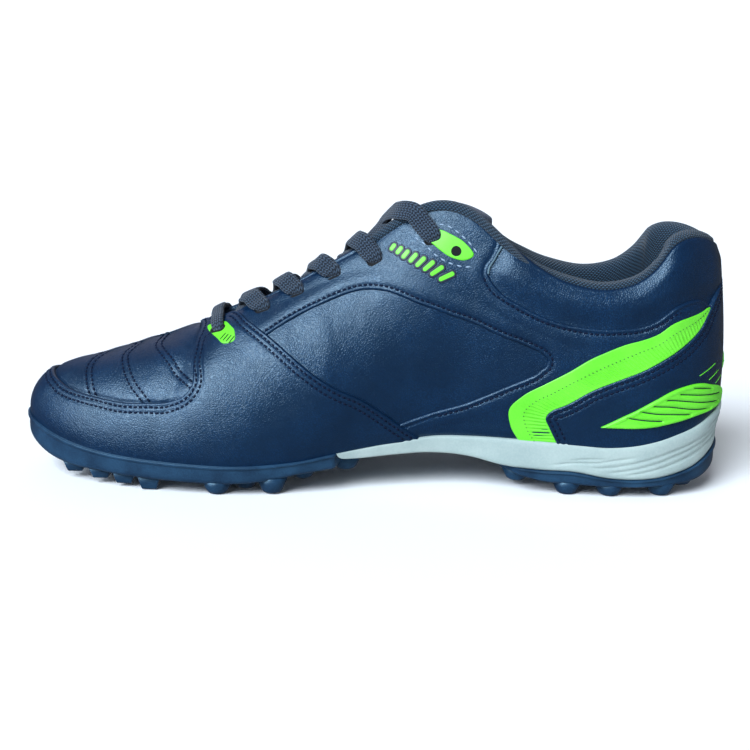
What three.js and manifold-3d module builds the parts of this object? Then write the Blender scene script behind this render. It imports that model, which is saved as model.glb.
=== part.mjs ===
// Turf shoe for the right foot, size 43, modelled the way it is put together: rubber outsole with
// moulded studs, foam midsole, insole, a hollow lasted upper with its stitched overlays, a padded
// collar lining, a tongue and the crossings of a flat lace.
// Millimetres. +X runs to the toe, +Y to the inner (big toe) side, +Z up. The shoe stands on z = 0.

import * as THREE from "three";
import { mergeVertices } from "three/addons/utils/BufferGeometryUtils.js";
import Module from "manifold-3d";

const wasm = await Module();
wasm.setup();

// Driving sizes
const SHOE_LENGTH = 300;
const BALL_WIDTH = 104;
const TOPLINE_HEIGHT = 119; // top corner of the eyestay, the highest point of the leather
const SEAT_HEIGHT = 23.5; // where the upper meets the sole under the arch
const PARTING_HEIGHT = 16.2; // underside of the foam midsole at the arch
const GROUND_CLEARANCE = 5.4; // underside of the outsole plate between its studs, at the heel
const ARCH_EASE = 4.5; // how much lower the arch's underside is on the outer side
const SEAT_EASE = 2.25; // how much lower the upper's seat is there
const THROAT_DROP = 4; // how much lower the outer eyestay sits than the inner one
const UPPER_WALL = 2.2;
const UPPER_INSET = 2; // from the rim of the sole in to the upper
const CLEARANCE = 0.3; // between pieces that rest on each other
const GUARD_THICKNESS = 1.3;
const EYESTAY_THICKNESS = 0.9;
const COUNTER_THICKNESS = 1.5;
const BAND_THICKNESS = 0.9;
const INSERT_THICKNESS = 0.9;
const INSOLE_THICKNESS = 4;
const INSOLE_EASE = 1.2; // clearance between the insole's edge and the wall beside it
const TONGUE_THICKNESS = 3.6;
const TONGUE_TIP_LENGTH = 21; // how far the tongue reaches past the top of the throat
const TONGUE_TOE_LENGTH = 12; // how far it is tucked under the vamp
const PAD_THICKNESS = 6.6; // collar padding
const ROLL_HEIGHT = 4.4; // the padded roll above the leather's edge
const PAD_DEPTH = 40;
const RIB_DEPTH = 0.7;
const SOLE_EDGE_ROUNDING = 2;
const SOLE_DISH = 0.5; // how much lower every layer of the sole lies in its middle, under the ball
const WAIST_INSET = 11; // how far the rubber steps in under the arch
const MIDSOLE_TIP = 15; // front end of the foam, from the middle of the shoe
const STUD_FOOT_RADIUS = 3;
const STUD_ROOT_RADIUS = 6.3;
const STUD_EDGE_INSET = 8;
const STUD_ROOTING = 0.8; // how deep a stud's root is sunk into the plate
const EYELET_RADIUS = 2.1;
const LACE_WIDTH = 7.2;
const LACE_THICKNESS = 1.5;
const LACE_LIFT = 0.6; // clearance of a lace over the leather it crosses
const TOP_ARCH = 1.5; // how much higher the last, loose crossing stands

const HALF_LENGTH = SHOE_LENGTH / 2;
const HALF_BALL = BALL_WIDTH / 2;
const INNER = 1;
const OUTER = -1;

// Colours read from the photograph
const NAVY_LEATHER = { color: 0x24406b, roughness: 0.42 };
const NAVY_RUBBER = { color: 0x2f4560, roughness: 0.6 };
const PALE_FOAM = { color: 0xc9d6da, roughness: 0.62 };
const KNIT = { color: 0x1c2a40, roughness: 0.9 };
const GREEN = { color: 0x7fee4e, roughness: 0.45 };
const LACE_CLOTH = { color: 0x36465c, roughness: 0.9 };

// A table of rows with named columns, every number a share of the size that its comment gives.
const table = (columns, rows) => {
  const names = columns.split(" ");
  return rows.map((row) => Object.fromEntries(row.map((value, i) => [names[i], value])));
};

// Sections from the back of the heel to the tip of the toe. at and topAt are shares of half the
// length; inner, outer, ridge, gap, lowOut and highOut of half the ball width; lowUp and highDrop of
// the wall's own height. inner and outer are the rim of the sole. ridge and gap are the middle and
// half the distance of the two edges of collar or throat. low and high are the handles of the wall's
// curve, which leave the sole and arrive at the top edge.
const SECTIONS = table(
  "at inner outer topAt ridge gap lowOut lowUp highOut highDrop",
  [
    [-1.0, 0.115, 0.115, -0.957, 0.115, 0.0, 0.045, 0.34, 0.07, 0.35],
    [-0.979, 0.394, -0.163, -0.94, 0.115, 0.183, 0.045, 0.34, 0.077, 0.35],
    [-0.92, 0.625, -0.394, -0.89, 0.115, 0.327, 0.05, 0.34, 0.09, 0.35],
    [-0.813, 0.769, -0.538, -0.8, 0.12, 0.49, 0.06, 0.33, 0.1, 0.35],
    [-0.647, 0.808, -0.596, -0.647, 0.125, 0.57, 0.06, 0.33, 0.08, 0.33],
    [-0.413, 0.74, -0.683, -0.413, 0.13, 0.52, 0.07, 0.33, 0.11, 0.34],
    [-0.2, 0.683, -0.798, -0.2, 0.14, 0.31, 0.096, 0.36, 0.25, 0.28],
    [0.013, 0.779, -0.933, 0.0, 0.145, 0.215, 0.096, 0.35, 0.31, 0.24],
    [0.2, 0.923, -1.0, 0.18, 0.154, 0.183, 0.077, 0.33, 0.37, 0.18],
    [0.38, 1.0, -0.985, 0.333, 0.163, 0.154, 0.05, 0.34, 0.42, 0.14],
    [0.527, 0.975, -0.93, 0.433, 0.163, 0.13, 0.04, 0.36, 0.44, 0.11],
    [0.593, 0.95, -0.89, 0.482, 0.165, 0.0, 0.04, 0.36, 0.45, 0.09],
    [0.647, 0.925, -0.84, 0.507, 0.167, 0.0, 0.04, 0.36, 0.46, 0.08],
    [0.74, 0.86, -0.715, 0.59, 0.177, 0.0, 0.04, 0.37, 0.44, 0.08],
    [0.847, 0.745, -0.51, 0.685, 0.192, 0.0, 0.04, 0.39, 0.39, 0.08],
    [0.933, 0.585, -0.25, 0.76, 0.21, 0.0, 0.04, 0.42, 0.33, 0.09],
    [0.983, 0.43, -0.03, 0.805, 0.221, 0.0, 0.04, 0.45, 0.3, 0.1],
    [1.0, 0.21, 0.21, 0.827, 0.225, 0.0, 0.04, 0.47, 0.29, 0.11],
  ],
);

// Height of the collar, the throat and then the ridge of the toe, seen from the side.
const TOPLINE = table("at height", [
  [-0.957, 0.87], [-0.92, 0.891], [-0.873, 0.901], [-0.833, 0.893], [-0.799, 0.868], [-0.76, 0.805],
  [-0.713, 0.756], [-0.667, 0.734], [-0.62, 0.726], [-0.56, 0.734], [-0.491, 0.76], [-0.41, 0.821],
  [-0.329, 0.903], [-0.26, 0.973], [-0.207, 0.999], [-0.16, 1.0], [-0.113, 0.982], [-0.059, 0.943],
  [0.02, 0.868], [0.12, 0.79], [0.22, 0.716], [0.333, 0.638], [0.44, 0.566], [0.507, 0.538],
  [0.59, 0.5], [0.685, 0.458], [0.76, 0.428], [0.827, 0.408],
]);

// Heights of the sole along its inner side: seat of SEAT_HEIGHT, parting (underside of the foam)
// of PARTING_HEIGHT, base (underside of the rubber) of GROUND_CLEARANCE.
const SOLE = table("at seat parting base", [
  [-1.0, 1.3, 1.02, 1.7], [-0.96, 1.17, 0.8, 1.4], [-0.9, 1.02, 0.58, 1.12], [-0.82, 0.95, 0.47, 1.0],
  [-0.74, 0.94, 0.46, 0.9], [-0.66, 0.96, 0.52, 0.9], [-0.56, 0.99, 0.66, 0.98], [-0.47, 1.0, 0.66, 1.1],
  [-0.42, 1.01, 0.68, 1.4], [-0.36, 1.02, 0.74, 1.75], [-0.27, 1.02, 0.92, 2.3], [-0.16, 1.0, 1.0, 2.55],
  [-0.06, 0.9, 0.96, 2.5], [0.04, 0.8, 0.9, 2.25], [0.1, 0.74, 0.9, 2.0], [0.2, 0.63, 0.82, 1.66],
  [0.29, 0.58, 0.76, 1.2], [0.38, 0.56, 0.72, 0.98], [0.52, 0.575, 0.74, 0.98], [0.64, 0.61, 0.78, 1.1],
  [0.76, 0.68, 0.88, 1.3], [0.86, 0.8, 1.1, 1.5], [0.94, 0.95, 1.3, 2.1], [1.0, 1.1, 1.5, 3.1],
]);

// Studs: one row across the sole for each line. inner and outer say how far in from that rim, in
// stud insets, the row starts and ends, and height is of GROUND_CLEARANCE. The toe's have four sides.
const STUD_ROWS = table("at count sides inner outer height", [
  [0.868, 3, 4, 1.0, 1.0, 0.8], [0.776, 4, 4, 0.9, 1.0, 0.8], [0.702, 4, 4, 0.9, 0.9, 0.85],
  [0.625, 5, 4, 0.8, 0.9, 1.0], [0.527, 4, 6, 2.4, 1.8, 1.1], [0.43, 5, 6, 0.8, 0.8, 1.1],
  [0.348, 4, 6, 1.8, 1.6, 1.1], [0.27, 5, 6, 0.8, 0.8, 1.2], [0.17, 4, 6, 2.2, 1.4, 1.2],
  [0.05, 2, 6, 2.0, 2.6, 1.0], [-0.403, 4, 6, 1.6, 1.6, 0.95], [-0.543, 4, 6, 0.7, 0.7, 1.1],
  [-0.667, 4, 6, 0.7, 0.7, 1.1], [-0.827, 4, 6, 0.8, 0.8, 1.1], [-0.945, 2, 6, 1.4, 1.4, 0.9],
]);

// The sole's edge from bottom to top, each stop a share of the wall's height: how far it stands in,
// as a share of the rounding.
const SOLE_EDGE = table("up back", [[0.0, 1.0], [0.2, 0.15], [1.0, 0.0]]);

// The foam's side from bottom to top: out is of RIB_DEPTH, and comes in from the arch to the heel.
const RIBS = table("up out", [
  [0.0, 0.0], [0.1, 1.0], [0.16, 0.1], [0.2, 1.0], [0.29, 0.1], [0.33, 1.0], [0.43, 0.1],
  [0.47, 0.9], [0.7, 0.5], [1.0, 0.0],
]);
const RIBS_START = -0.42; // shares of half the length
const RIBS_FULL = -0.58;

// Eyelets from the throat's base to its top: how far along the rim and how far up the wall. The last
// one is spare.
const EYELETS = table("along up", [
  [0.724, 0.843], [0.656, 0.888], [0.609, 0.902], [0.561, 0.907], [0.509, 0.868], [0.433, 0.83],
  [0.402, 0.787],
]);
const LACED = 6;

// Overlays, each between a low and a high edge, by how far along the rim they are. Each is a share
// of the wall's height.
const TOE_GUARD = table("along low high", [
  [0.441, 0.025, 0.03], [0.465, 0.025, 0.077], [0.491, 0.025, 0.158], [0.517, 0.025, 0.24],
  [0.544, 0.025, 0.31], [0.593, 0.025, 0.48], [0.638, 0.025, 0.67], [0.671, 0.025, 0.818],
  [0.715, 0.025, 0.975], [0.734, 0.025, 0.975], [0.743, 0.025, 0.46], [0.757, 0.025, 0.385],
  [0.79, 0.025, 0.362], [0.821, 0.025, 0.372], [0.86, 0.025, 0.403], [0.901, 0.025, 0.432],
  [0.922, 0.025, 0.455], [0.948, 0.025, 0.515], [1.0, 0.025, 0.63],
]);
const EYESTAY = table("along low high", [
  [0.35, 0.93, 0.975], [0.36, 0.77, 0.975], [0.396, 0.66, 0.975], [0.436, 0.6, 0.975],
  [0.475, 0.63, 0.975], [0.505, 0.71, 0.975], [0.537, 0.755, 0.975], [0.575, 0.765, 0.975],
  [0.623, 0.74, 0.975], [0.646, 0.72, 0.975], [0.666, 0.83, 0.975], [0.698, 0.95, 0.975],
]);
const HEEL_COUNTER = table("along low high", [
  [0.0, 0.025, 0.86], [0.029, 0.025, 0.82], [0.075, 0.025, 0.69], [0.105, 0.025, 0.562],
  [0.136, 0.025, 0.5], [0.162, 0.025, 0.49], [0.192, 0.025, 0.46], [0.23, 0.025, 0.388],
  [0.265, 0.025, 0.26], [0.277, 0.03, 0.22], [0.284, 0.092, 0.198], [0.289, 0.14, 0.155],
]);
const SIDE_BAND = table("along low high", [
  [0.094, 0.66, 0.68], [0.119, 0.56, 0.655], [0.159, 0.525, 0.655], [0.198, 0.485, 0.63],
  [0.233, 0.415, 0.58], [0.265, 0.3, 0.5], [0.287, 0.225, 0.42], [0.297, 0.14, 0.38],
  [0.303, 0.02, 0.35], [0.327, 0.02, 0.21], [0.347, 0.02, 0.04],
]);
const HEEL_INSERT = table("along low high", [
  [0.025, 0.125, 0.15], [0.039, 0.12, 0.2], [0.076, 0.132, 0.268], [0.102, 0.14, 0.31],
  [0.126, 0.132, 0.312], [0.159, 0.13, 0.29], [0.189, 0.13, 0.228], [0.22, 0.13, 0.14],
]);

// The collar lining from its lower edge to the top of its roll: how much of its thickness is there.
const PAD_SWELL = table("up swell", [
  [0.0, 0.2], [0.2, 0.55], [0.5, 0.95], [0.75, 1.0], [0.9, 0.85], [1.0, 0.5],
]);
const PAD_FRONT = 0.34; // how far along the rim the lining ends, thinned out from PAD_THINNING on
const PAD_THINNING = 0.26;

// The tongue past the throat's top: how far back of TONGUE_TIP_LENGTH, how much lower, how wide and
// how thick it gets.
const TONGUE_TIP = table("back drop width thick", [
  [0.35, 0.05, 0.98, 1.2], [0.7, 0.13, 0.9, 1.6], [0.92, 0.22, 0.8, 1.5], [1.0, 0.3, 0.7, 0.7],
]);

const clamp = (value, low, high) => Math.min(high, Math.max(low, value));
const mix = (a, b, t) => a + (b - a) * t;
const smooth = (from, to, value) => {
  const t = clamp((value - from) / (to - from), 0, 1);
  return t * t * (3 - 2 * t);
};

// A cubic curve through the values at the given stops. An even column is level at both ends, an
// odd one passes straight through zero there, and an open one runs on.
function curve(stops, values, ends = "open") {
  const last = stops.length - 1;
  const slope = stops.map((stop, i) => {
    if (i > 0 && i < last) {
      const back = (values[i] - values[i - 1]) / (stop - stops[i - 1]);
      const ahead = (values[i + 1] - values[i]) / (stops[i + 1] - stop);
      const share = (stop - stops[i - 1]) / (stops[i + 1] - stops[i - 1]);
      return mix(back, ahead, share);
    }
    if (ends === "even") return 0;
    const j = i === 0 ? 1 : last - 1;
    return (values[j] - values[i]) / (stops[j] - stop);
  });
  return (at) => {
    const t = clamp(at, stops[0], stops[last]);
    let i = 0;
    while (i < last - 1 && t > stops[i + 1]) i += 1;
    const span = stops[i + 1] - stops[i];
    const s = (t - stops[i]) / span;
    const s2 = s * s;
    const s3 = s2 * s;
    return (
      (2 * s3 - 3 * s2 + 1) * values[i] +
      (s3 - 2 * s2 + s) * span * slope[i] +
      (3 * s2 - 2 * s3) * values[i + 1] +
      (s3 - s2) * span * slope[i + 1]
    );
  };
}

const column = (rows, name, scale = 1) => rows.map((row) => row[name] * scale);

// How far along the rim each section lies, as a share from heel to toe.
const alongRim = SECTIONS.map(() => 0);
for (let i = 1; i < SECTIONS.length; i += 1) {
  const a = SECTIONS[i - 1];
  const b = SECTIONS[i];
  const run = (b.at - a.at) * HALF_LENGTH;
  const rise = ((b.inner - b.outer - a.inner + a.outer) / 2) * HALF_BALL;
  alongRim[i] = alongRim[i - 1] + Math.hypot(run, rise);
}
const rimLength = alongRim[SECTIONS.length - 1];
const STOPS = alongRim.map((length) => length / rimLength);
const THROAT_END = STOPS[SECTIONS.findIndex((row) => row.gap === 0 && row.at > 0)];

const section = (name, scale, ends) => curve(STOPS, column(SECTIONS, name, scale), ends);
const rimX = section("at", HALF_LENGTH, "even");
const middles = SECTIONS.map((row) => ((row.inner + row.outer) / 2) * HALF_BALL);
const halves = SECTIONS.map((row) => ((row.inner - row.outer) / 2) * HALF_BALL);
const rimMiddle = curve(STOPS, middles, "even");
const rimHalf = curve(STOPS, halves);
const topX = section("topAt", HALF_LENGTH, "even");
const ridgeY = section("ridge", HALF_BALL, "even");
const gapCurve = section("gap", HALF_BALL);
const topGap = (along) => (along >= THROAT_END ? 0 : Math.max(0, gapCurve(along)));
const handles = {
  lowOut: section("lowOut", HALF_BALL, "even"),
  lowUp: section("lowUp", 1, "even"),
  highOut: section("highOut", HALF_BALL, "even"),
  highDrop: section("highDrop", 1, "even"),
};

const height = (rows, name, scale) =>
  curve(column(rows, "at", HALF_LENGTH), column(rows, name, scale));
const toplineHeight = height(TOPLINE, "height", TOPLINE_HEIGHT);
const innerSeat = height(SOLE, "seat", SEAT_HEIGHT);
const innerParting = height(SOLE, "parting", PARTING_HEIGHT);
const innerBase = height(SOLE, "base", GROUND_CLEARANCE);

// 1 in the middle of the arch, fading to nothing at ball and heel.
const archShare = (x) =>
  smooth(0.36, 0.0, x / HALF_LENGTH) * smooth(-0.55, -0.25, x / HALF_LENGTH);
// inward runs from 0 at the inner rim to 1 at the outer rim.
const seatAt = (x, inward) => innerSeat(x) - SEAT_EASE * archShare(x) * inward;
const partingAt = (x, inward) => innerParting(x) - ARCH_EASE * archShare(x) * inward;
const baseAt = (x, inward) => innerBase(x) - ARCH_EASE * archShare(x) * inward;

const STEP = 1e-3;
// A point of the sole's rim and the direction straight out from it, seen from above.
function rim(along, side, inset = 0) {
  const point = (t) => [rimX(t), rimMiddle(t) + side * rimHalf(t)];
  const a = point(Math.max(0, along - STEP));
  const b = point(Math.min(1, along + STEP));
  let out = [-(b[1] - a[1]) * side, (b[0] - a[0]) * side];
  if (along < STEP) out = [-1, 0];
  if (along > 1 - STEP) out = [1, 0];
  const size = Math.hypot(out[0], out[1]);
  out = [out[0] / size, out[1] / size];
  const [x, y] = point(along);
  return { x: x - out[0] * inset, y: y - out[1] * inset, out };
}

// The edge of collar, throat or, past the throat, the ridge of the toe.
function topEdge(along, side) {
  const x = topX(along);
  const share = x / HALF_LENGTH;
  const drop = side === OUTER ? THROAT_DROP * smooth(-0.45, -0.2, share) * smooth(0.46, 0.2, share) : 0;
  return new THREE.Vector3(x, ridgeY(along) + side * topGap(along), toplineHeight(x) - drop);
}

// The last: a point of the upper's outer face. up runs from 0 at the sole to 1 at the top edge.
function lastPoint(along, side, up) {
  const foot = rim(along, side, UPPER_INSET);
  const seat = seatAt(foot.x, side === INNER ? 0 : 1) + CLEARANCE;
  const low = new THREE.Vector3(foot.x, foot.y, seat);
  const top = topEdge(along, side);
  const wall = top.z - seat;
  const out = new THREE.Vector3(foot.out[0], foot.out[1], 0);
  const lowHandle = low.clone().addScaledVector(out, handles.lowOut(along));
  lowHandle.z += handles.lowUp(along) * wall;
  const highHandle = top.clone().addScaledVector(out, handles.highOut(along));
  highHandle.z -= handles.highDrop(along) * wall;
  return new THREE.CubicBezierCurve3(low, lowHandle, highHandle, top).getPoint(up);
}

// The outward normal of the last. Where its two halves meet it is the mean of both.
function lastNormal(along, side, up) {
  const normalOf = (half) => {
    const ahead = lastPoint(Math.min(1, along + STEP), half, up);
    ahead.sub(lastPoint(Math.max(0, along - STEP), half, up));
    const climb = lastPoint(along, half, up + STEP).sub(lastPoint(along, half, up - STEP));
    return climb.cross(ahead).multiplyScalar(half).normalize();
  };
  const onRidge = along >= THROAT_END && up > 1 - STEP;
  if (along < STEP || along > 1 - STEP || onRidge) {
    return normalOf(INNER).add(normalOf(OUTER)).normalize();
  }
  return normalOf(side);
}

const skinPoint = (along, side, up, offset) =>
  lastPoint(along, side, up).addScaledVector(lastNormal(along, side, up), offset);

// Where along the rim it reaches the given x.
function alongAt(x) {
  let low = 0;
  let high = 1;
  for (let i = 0; i < 40; i += 1) {
    const middle = (low + high) / 2;
    if (rimX(middle) < x) low = middle;
    else high = middle;
  }
  return (low + high) / 2;
}

// A solid from a closed geometry, its corners merged and its empty faces dropped.
function solidOf(geometry) {
  const bare = geometry.clone();
  bare.deleteAttribute("normal");
  bare.deleteAttribute("uv");
  const merged = mergeVertices(bare, 1e-3);
  const index = merged.index.array;
  const kept = [];
  for (let i = 0; i < index.length; i += 3) {
    const [a, b, c] = [index[i], index[i + 1], index[i + 2]];
    if (a !== b && b !== c && c !== a) kept.push(a, b, c);
  }
  const vertProperties = merged.attributes.position.array;
  const triVerts = new Uint32Array(kept);
  return new wasm.Manifold(new wasm.Mesh({ numProp: 3, vertProperties, triVerts }));
}

function solidFrom(corners) {
  const geometry = new THREE.BufferGeometry();
  const places = corners.flatMap((point) => [point.x, point.y, point.z]);
  geometry.setAttribute("position", new THREE.Float32BufferAttribute(places, 3));
  return solidOf(geometry);
}

// Which way a ring of points faces, and how large it is.
function ringNormal(ring) {
  const normal = new THREE.Vector3();
  ring.forEach((point, i) => normal.add(point.clone().cross(ring[(i + 1) % ring.length])));
  return normal;
}

// The faces of a ring's flat cover, facing the way that is given.
function cover(ring, facing) {
  const [across, up] = Math.abs(facing.x) > Math.abs(facing.y) ? ["y", "z"] : ["x", "z"];
  const level = Math.abs(facing.z) > Math.max(Math.abs(facing.x), Math.abs(facing.y));
  const flat = ring.map((p) => (level ? new THREE.Vector2(p.x, p.y) : new THREE.Vector2(p[across], p[up])));
  return THREE.ShapeUtils.triangulateShape(flat, []).flatMap((face) => {
    const points = face.map((i) => ring[i]);
    return ringNormal(points).dot(facing) < 0 ? points.reverse() : points;
  });
}

const SMALLEST_RING = 0.05; // square millimetres; a smaller ring has closed to a line

// A solid skinned over rings of points, closed at both ends.
function skinned(rings) {
  const faces = [];
  const around = rings[0].length;
  for (let i = 0; i + 1 < rings.length; i += 1) {
    for (let j = 0; j < around; j += 1) {
      const k = (j + 1) % around;
      const [a, b, c, d] = [rings[i][j], rings[i][k], rings[i + 1][k], rings[i + 1][j]];
      faces.push(a, b, c, a, c, d);
    }
  }
  const first = rings[0];
  const last = rings[rings.length - 1];
  const start = ringNormal(first);
  const end = ringNormal(last);
  if (start.length() > SMALLEST_RING) faces.push(...cover(first, start.clone().negate()));
  if (end.length() > SMALLEST_RING) faces.push(...cover(last, end));
  const solid = solidFrom(faces);
  return solid.volume() > 0 ? solid : solidFrom(faces.reverse());
}

// Stops from one share of the rim to another, no further apart than spacing, with the given ones.
function stops(from, to, spacing, given = []) {
  const fixed = [from, ...given.filter((along) => along > from && along < to), to];
  const all = [from];
  for (let i = 1; i < fixed.length; i += 1) {
    const count = Math.max(1, Math.round((fixed[i] - fixed[i - 1]) / spacing));
    for (let k = 1; k <= count; k += 1) all.push(mix(fixed[i - 1], fixed[i], k / count));
  }
  return all;
}

// Stops over the whole rim, closer under the collar and round the toe than along the throat.
const COLLAR_FRONT = 0.42;
const TOE_ROUND = 0.82;
const rimStops = (close, wide, given = []) => [
  ...stops(0, COLLAR_FRONT, close, given),
  ...stops(COLLAR_FRONT, TOE_ROUND, wide, given).slice(1),
  ...stops(TOE_ROUND, 1, close, given).slice(1),
];

// A piece of the wall on one side, between two edges and two offsets of the last. Edges are functions
// of along; offsets are functions of along and of the share from the low edge to the high one.
function wallPiece({ side, at, low, high, inside, outside, rows }) {
  const rings = at.map((along) => {
    const line = (offset) =>
      Array.from({ length: rows + 1 }, (_, i) => {
        const share = i / rows;
        return skinPoint(along, side, mix(low(along), high(along), share), offset(along, share));
      });
    return [...line(outside), ...line(inside).reverse()];
  });
  return skinned(rings);
}

const bothSides = (make) => make(INNER).add(make(OUTER));

const WALL_STOPS = rimStops(0.033, 0.066, [THROAT_END]);
const WALL_ROWS = 6;

// The whole wall between two offsets of the last, on the same grid as the upper.
const wallForm = (inside, outside) =>
  bothSides((side) =>
    wallPiece({
      side,
      at: WALL_STOPS,
      low: () => 0,
      high: () => 1,
      inside: () => inside,
      outside: () => outside,
      rows: WALL_ROWS,
    }));

// The wall and what keeps other pieces clear of it.
const keptClear = () => wallForm(-UPPER_WALL - CLEARANCE, CLEARANCE);

// The edge of an overlay, straight from row to row of its table.
function edgeOf(rows, name) {
  const along = column(rows, "along");
  return (at) => {
    let i = 0;
    while (i < along.length - 2 && at > along[i + 1]) i += 1;
    return mix(rows[i][name], rows[i + 1][name], (at - along[i]) / (along[i + 1] - along[i]));
  };
}

const CUTTER_REACH = 3; // how far a cutting form stands out past the piece that it cuts
const OUTLINE_SPACING = 0.03; // shares of the rim
const FLATNESS = 0.05; // how far a corner may lie off its neighbours' plane and still be dropped

// An overlay that lies on the wall, or over another overlay: what its outline cuts out of the
// space between two larger forms of the wall.
function overlay(rows, sides, thickness, under = 0) {
  const along = column(rows, "along");
  const inner = under + CLEARANCE;
  const outlines = sides.map((side) =>
    wallPiece({
      side,
      at: stops(along[0], along[along.length - 1], OUTLINE_SPACING, along),
      low: edgeOf(rows, "low"),
      high: edgeOf(rows, "high"),
      inside: () => inner - CUTTER_REACH,
      outside: () => inner + thickness + CUTTER_REACH,
      rows: 2,
    }));
  const outline = wasm.Manifold.union(outlines);
  return outline
    .intersect(wallForm(-UPPER_WALL, inner + thickness))
    .subtract(wallForm(-UPPER_WALL - CUTTER_REACH, inner))
    .asOriginal()
    .simplify(FLATNESS);
}

const SOLE_STOPS = rimStops(0.033, 0.055); // the rings that every flat piece shares

// A flat piece between the rims. Each row of the edge gives its height as a share and how far it
// stands in; bottom and top are heights at x for a share of the way from the inner rim to the outer.
function slab({ from, to, inset, bottom, top, edge }) {
  const between = SOLE_STOPS.filter((along) => along > from + STEP && along < to - STEP);
  const rings = [from, ...between, to].map((along) => {
    const width = Math.max(2 * rimHalf(along), STEP);
    const flank = (side) =>
      edge.map((row) => {
        const foot = rim(along, side, inset(along) + row.back(along));
        const inward = clamp((rim(along, INNER).y - foot.y) / width, 0, 1);
        return new THREE.Vector3(foot.x, foot.y, mix(bottom(foot.x, inward), top(foot.x, inward), row.up));
      });
    const inner = flank(INNER);
    const outer = flank(OUTER);
    const last = edge.length - 1;
    const over = inner[last].clone().lerp(outer[last], 0.5);
    const below = outer[0].clone().lerp(inner[0], 0.5);
    const dish = SOLE_DISH * Math.min(1, width / BALL_WIDTH);
    over.z -= dish;
    below.z -= dish;
    return [...inner, over, ...outer.reverse(), below];
  });
  return skinned(rings);
}

function buildStuds() {
  const studs = [];
  for (const row of STUD_ROWS) {
    const along = alongAt(row.at * HALF_LENGTH);
    const first = rim(along, INNER, row.inner * STUD_EDGE_INSET);
    const last = rim(along, OUTER, row.outer * STUD_EDGE_INSET);
    for (let i = 0; i < row.count; i += 1) {
      const share = i / (row.count - 1);
      const x = mix(first.x, last.x, share);
      const y = mix(first.y, last.y, share);
      const plate = baseAt(x, share);
      const foot = Math.max(0, plate - row.height * GROUND_CLEARANCE);
      const tall = plate + STUD_ROOTING - foot;
      const stud = new THREE.CylinderGeometry(STUD_ROOT_RADIUS, STUD_FOOT_RADIUS, tall, row.sides);
      stud.rotateX(Math.PI / 2);
      stud.rotateZ(Math.PI / row.sides);
      stud.translate(x, y, foot + tall / 2);
      studs.push(solidOf(stud));
    }
  }
  return studs;
}

function buildOutsole() {
  const tip = alongAt(MIDSOLE_TIP);
  const edge = SOLE_EDGE.map((row) => ({ up: row.up, back: () => row.back * SOLE_EDGE_ROUNDING }));
  const waist = (along) => {
    const share = rimX(along) / HALF_LENGTH;
    return WAIST_INSET * smooth(-0.42, -0.33, share) * smooth(0.11, 0.06, share);
  };
  const cup = slab({
    from: tip, to: 1, inset: () => 0, bottom: baseAt, top: seatAt, edge,
  });
  const plate = slab({
    from: 0, to: tip + 0.01, inset: waist, bottom: baseAt, top: partingAt, edge,
  });
  return wasm.Manifold.union([cup, plate, ...buildStuds()]);
}

function buildMidsole() {
  const ribbed = (along) => smooth(RIBS_START, RIBS_FULL, rimX(along) / HALF_LENGTH);
  return slab({
    from: 0,
    to: alongAt(MIDSOLE_TIP - CLEARANCE),
    inset: () => 0,
    bottom: (x, inward) => partingAt(x, inward) + CLEARANCE,
    top: seatAt,
    edge: RIBS.map((row) => ({ up: row.up, back: (along) => -row.out * RIB_DEPTH * ribbed(along) })),
  });
}

function buildInsole() {
  return slab({
    from: 0,
    to: 1,
    inset: () => UPPER_INSET + UPPER_WALL + INSOLE_EASE,
    bottom: (x, inward) => seatAt(x, inward) + CLEARANCE,
    top: (x, inward) => seatAt(x, inward) + CLEARANCE + INSOLE_THICKNESS,
    edge: [{ up: 0, back: () => 0 }, { up: 1, back: () => 0 }],
  });
}

const EYELET_SIDES = 6;

// A post along the wall's normal at an eyelet, through everything there.
function eyeletPost(eyelet, side) {
  const reach = UPPER_WALL + GUARD_THICKNESS + CUTTER_REACH;
  const post = new THREE.CylinderGeometry(EYELET_RADIUS, EYELET_RADIUS, 2 * reach, EYELET_SIDES);
  const normal = lastNormal(eyelet.along, side, eyelet.up);
  post.applyQuaternion(new THREE.Quaternion().setFromUnitVectors(new THREE.Vector3(0, 1, 0), normal));
  const centre = lastPoint(eyelet.along, side, eyelet.up);
  post.translate(centre.x, centre.y, centre.z);
  return solidOf(post);
}

const eyeletPosts = (sides) =>
  wasm.Manifold.union(sides.flatMap((side) => EYELETS.map((eyelet) => eyeletPost(eyelet, side))));

const buildUpper = () => wallForm(-UPPER_WALL, 0).subtract(eyeletPosts([INNER, OUTER]));

const buildToeGuard = () =>
  overlay(TOE_GUARD, [INNER, OUTER], GUARD_THICKNESS).subtract(eyeletPosts([INNER, OUTER]));

const buildEyestay = (side) =>
  overlay(EYESTAY, [side], EYESTAY_THICKNESS).subtract(eyeletPosts([side]));

function buildCollarLining() {
  const swell = curve(column(PAD_SWELL, "up"), column(PAD_SWELL, "swell"));
  const wall = (along) => topEdge(along, INNER).z - seatAt(topX(along), 0);
  const thick = (along, share) =>
    PAD_THICKNESS * swell(share) * (1 - 0.8 * smooth(PAD_THINNING, PAD_FRONT, along));
  const roll = (along) => (ROLL_HEIGHT * (1 - smooth(PAD_THINNING, PAD_FRONT, along))) / wall(along);
  return bothSides((side) =>
    wallPiece({
      side,
      at: [...WALL_STOPS.filter((along) => along < PAD_FRONT - STEP), PAD_FRONT],
      low: (along) => 1 - PAD_DEPTH / wall(along),
      high: (along) => 1 + roll(along),
      inside: (along, share) => -(UPPER_WALL + 2 * CLEARANCE + thick(along, share)),
      outside: () => -(UPPER_WALL + 2 * CLEARANCE),
      rows: 5,
    }));
}

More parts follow.
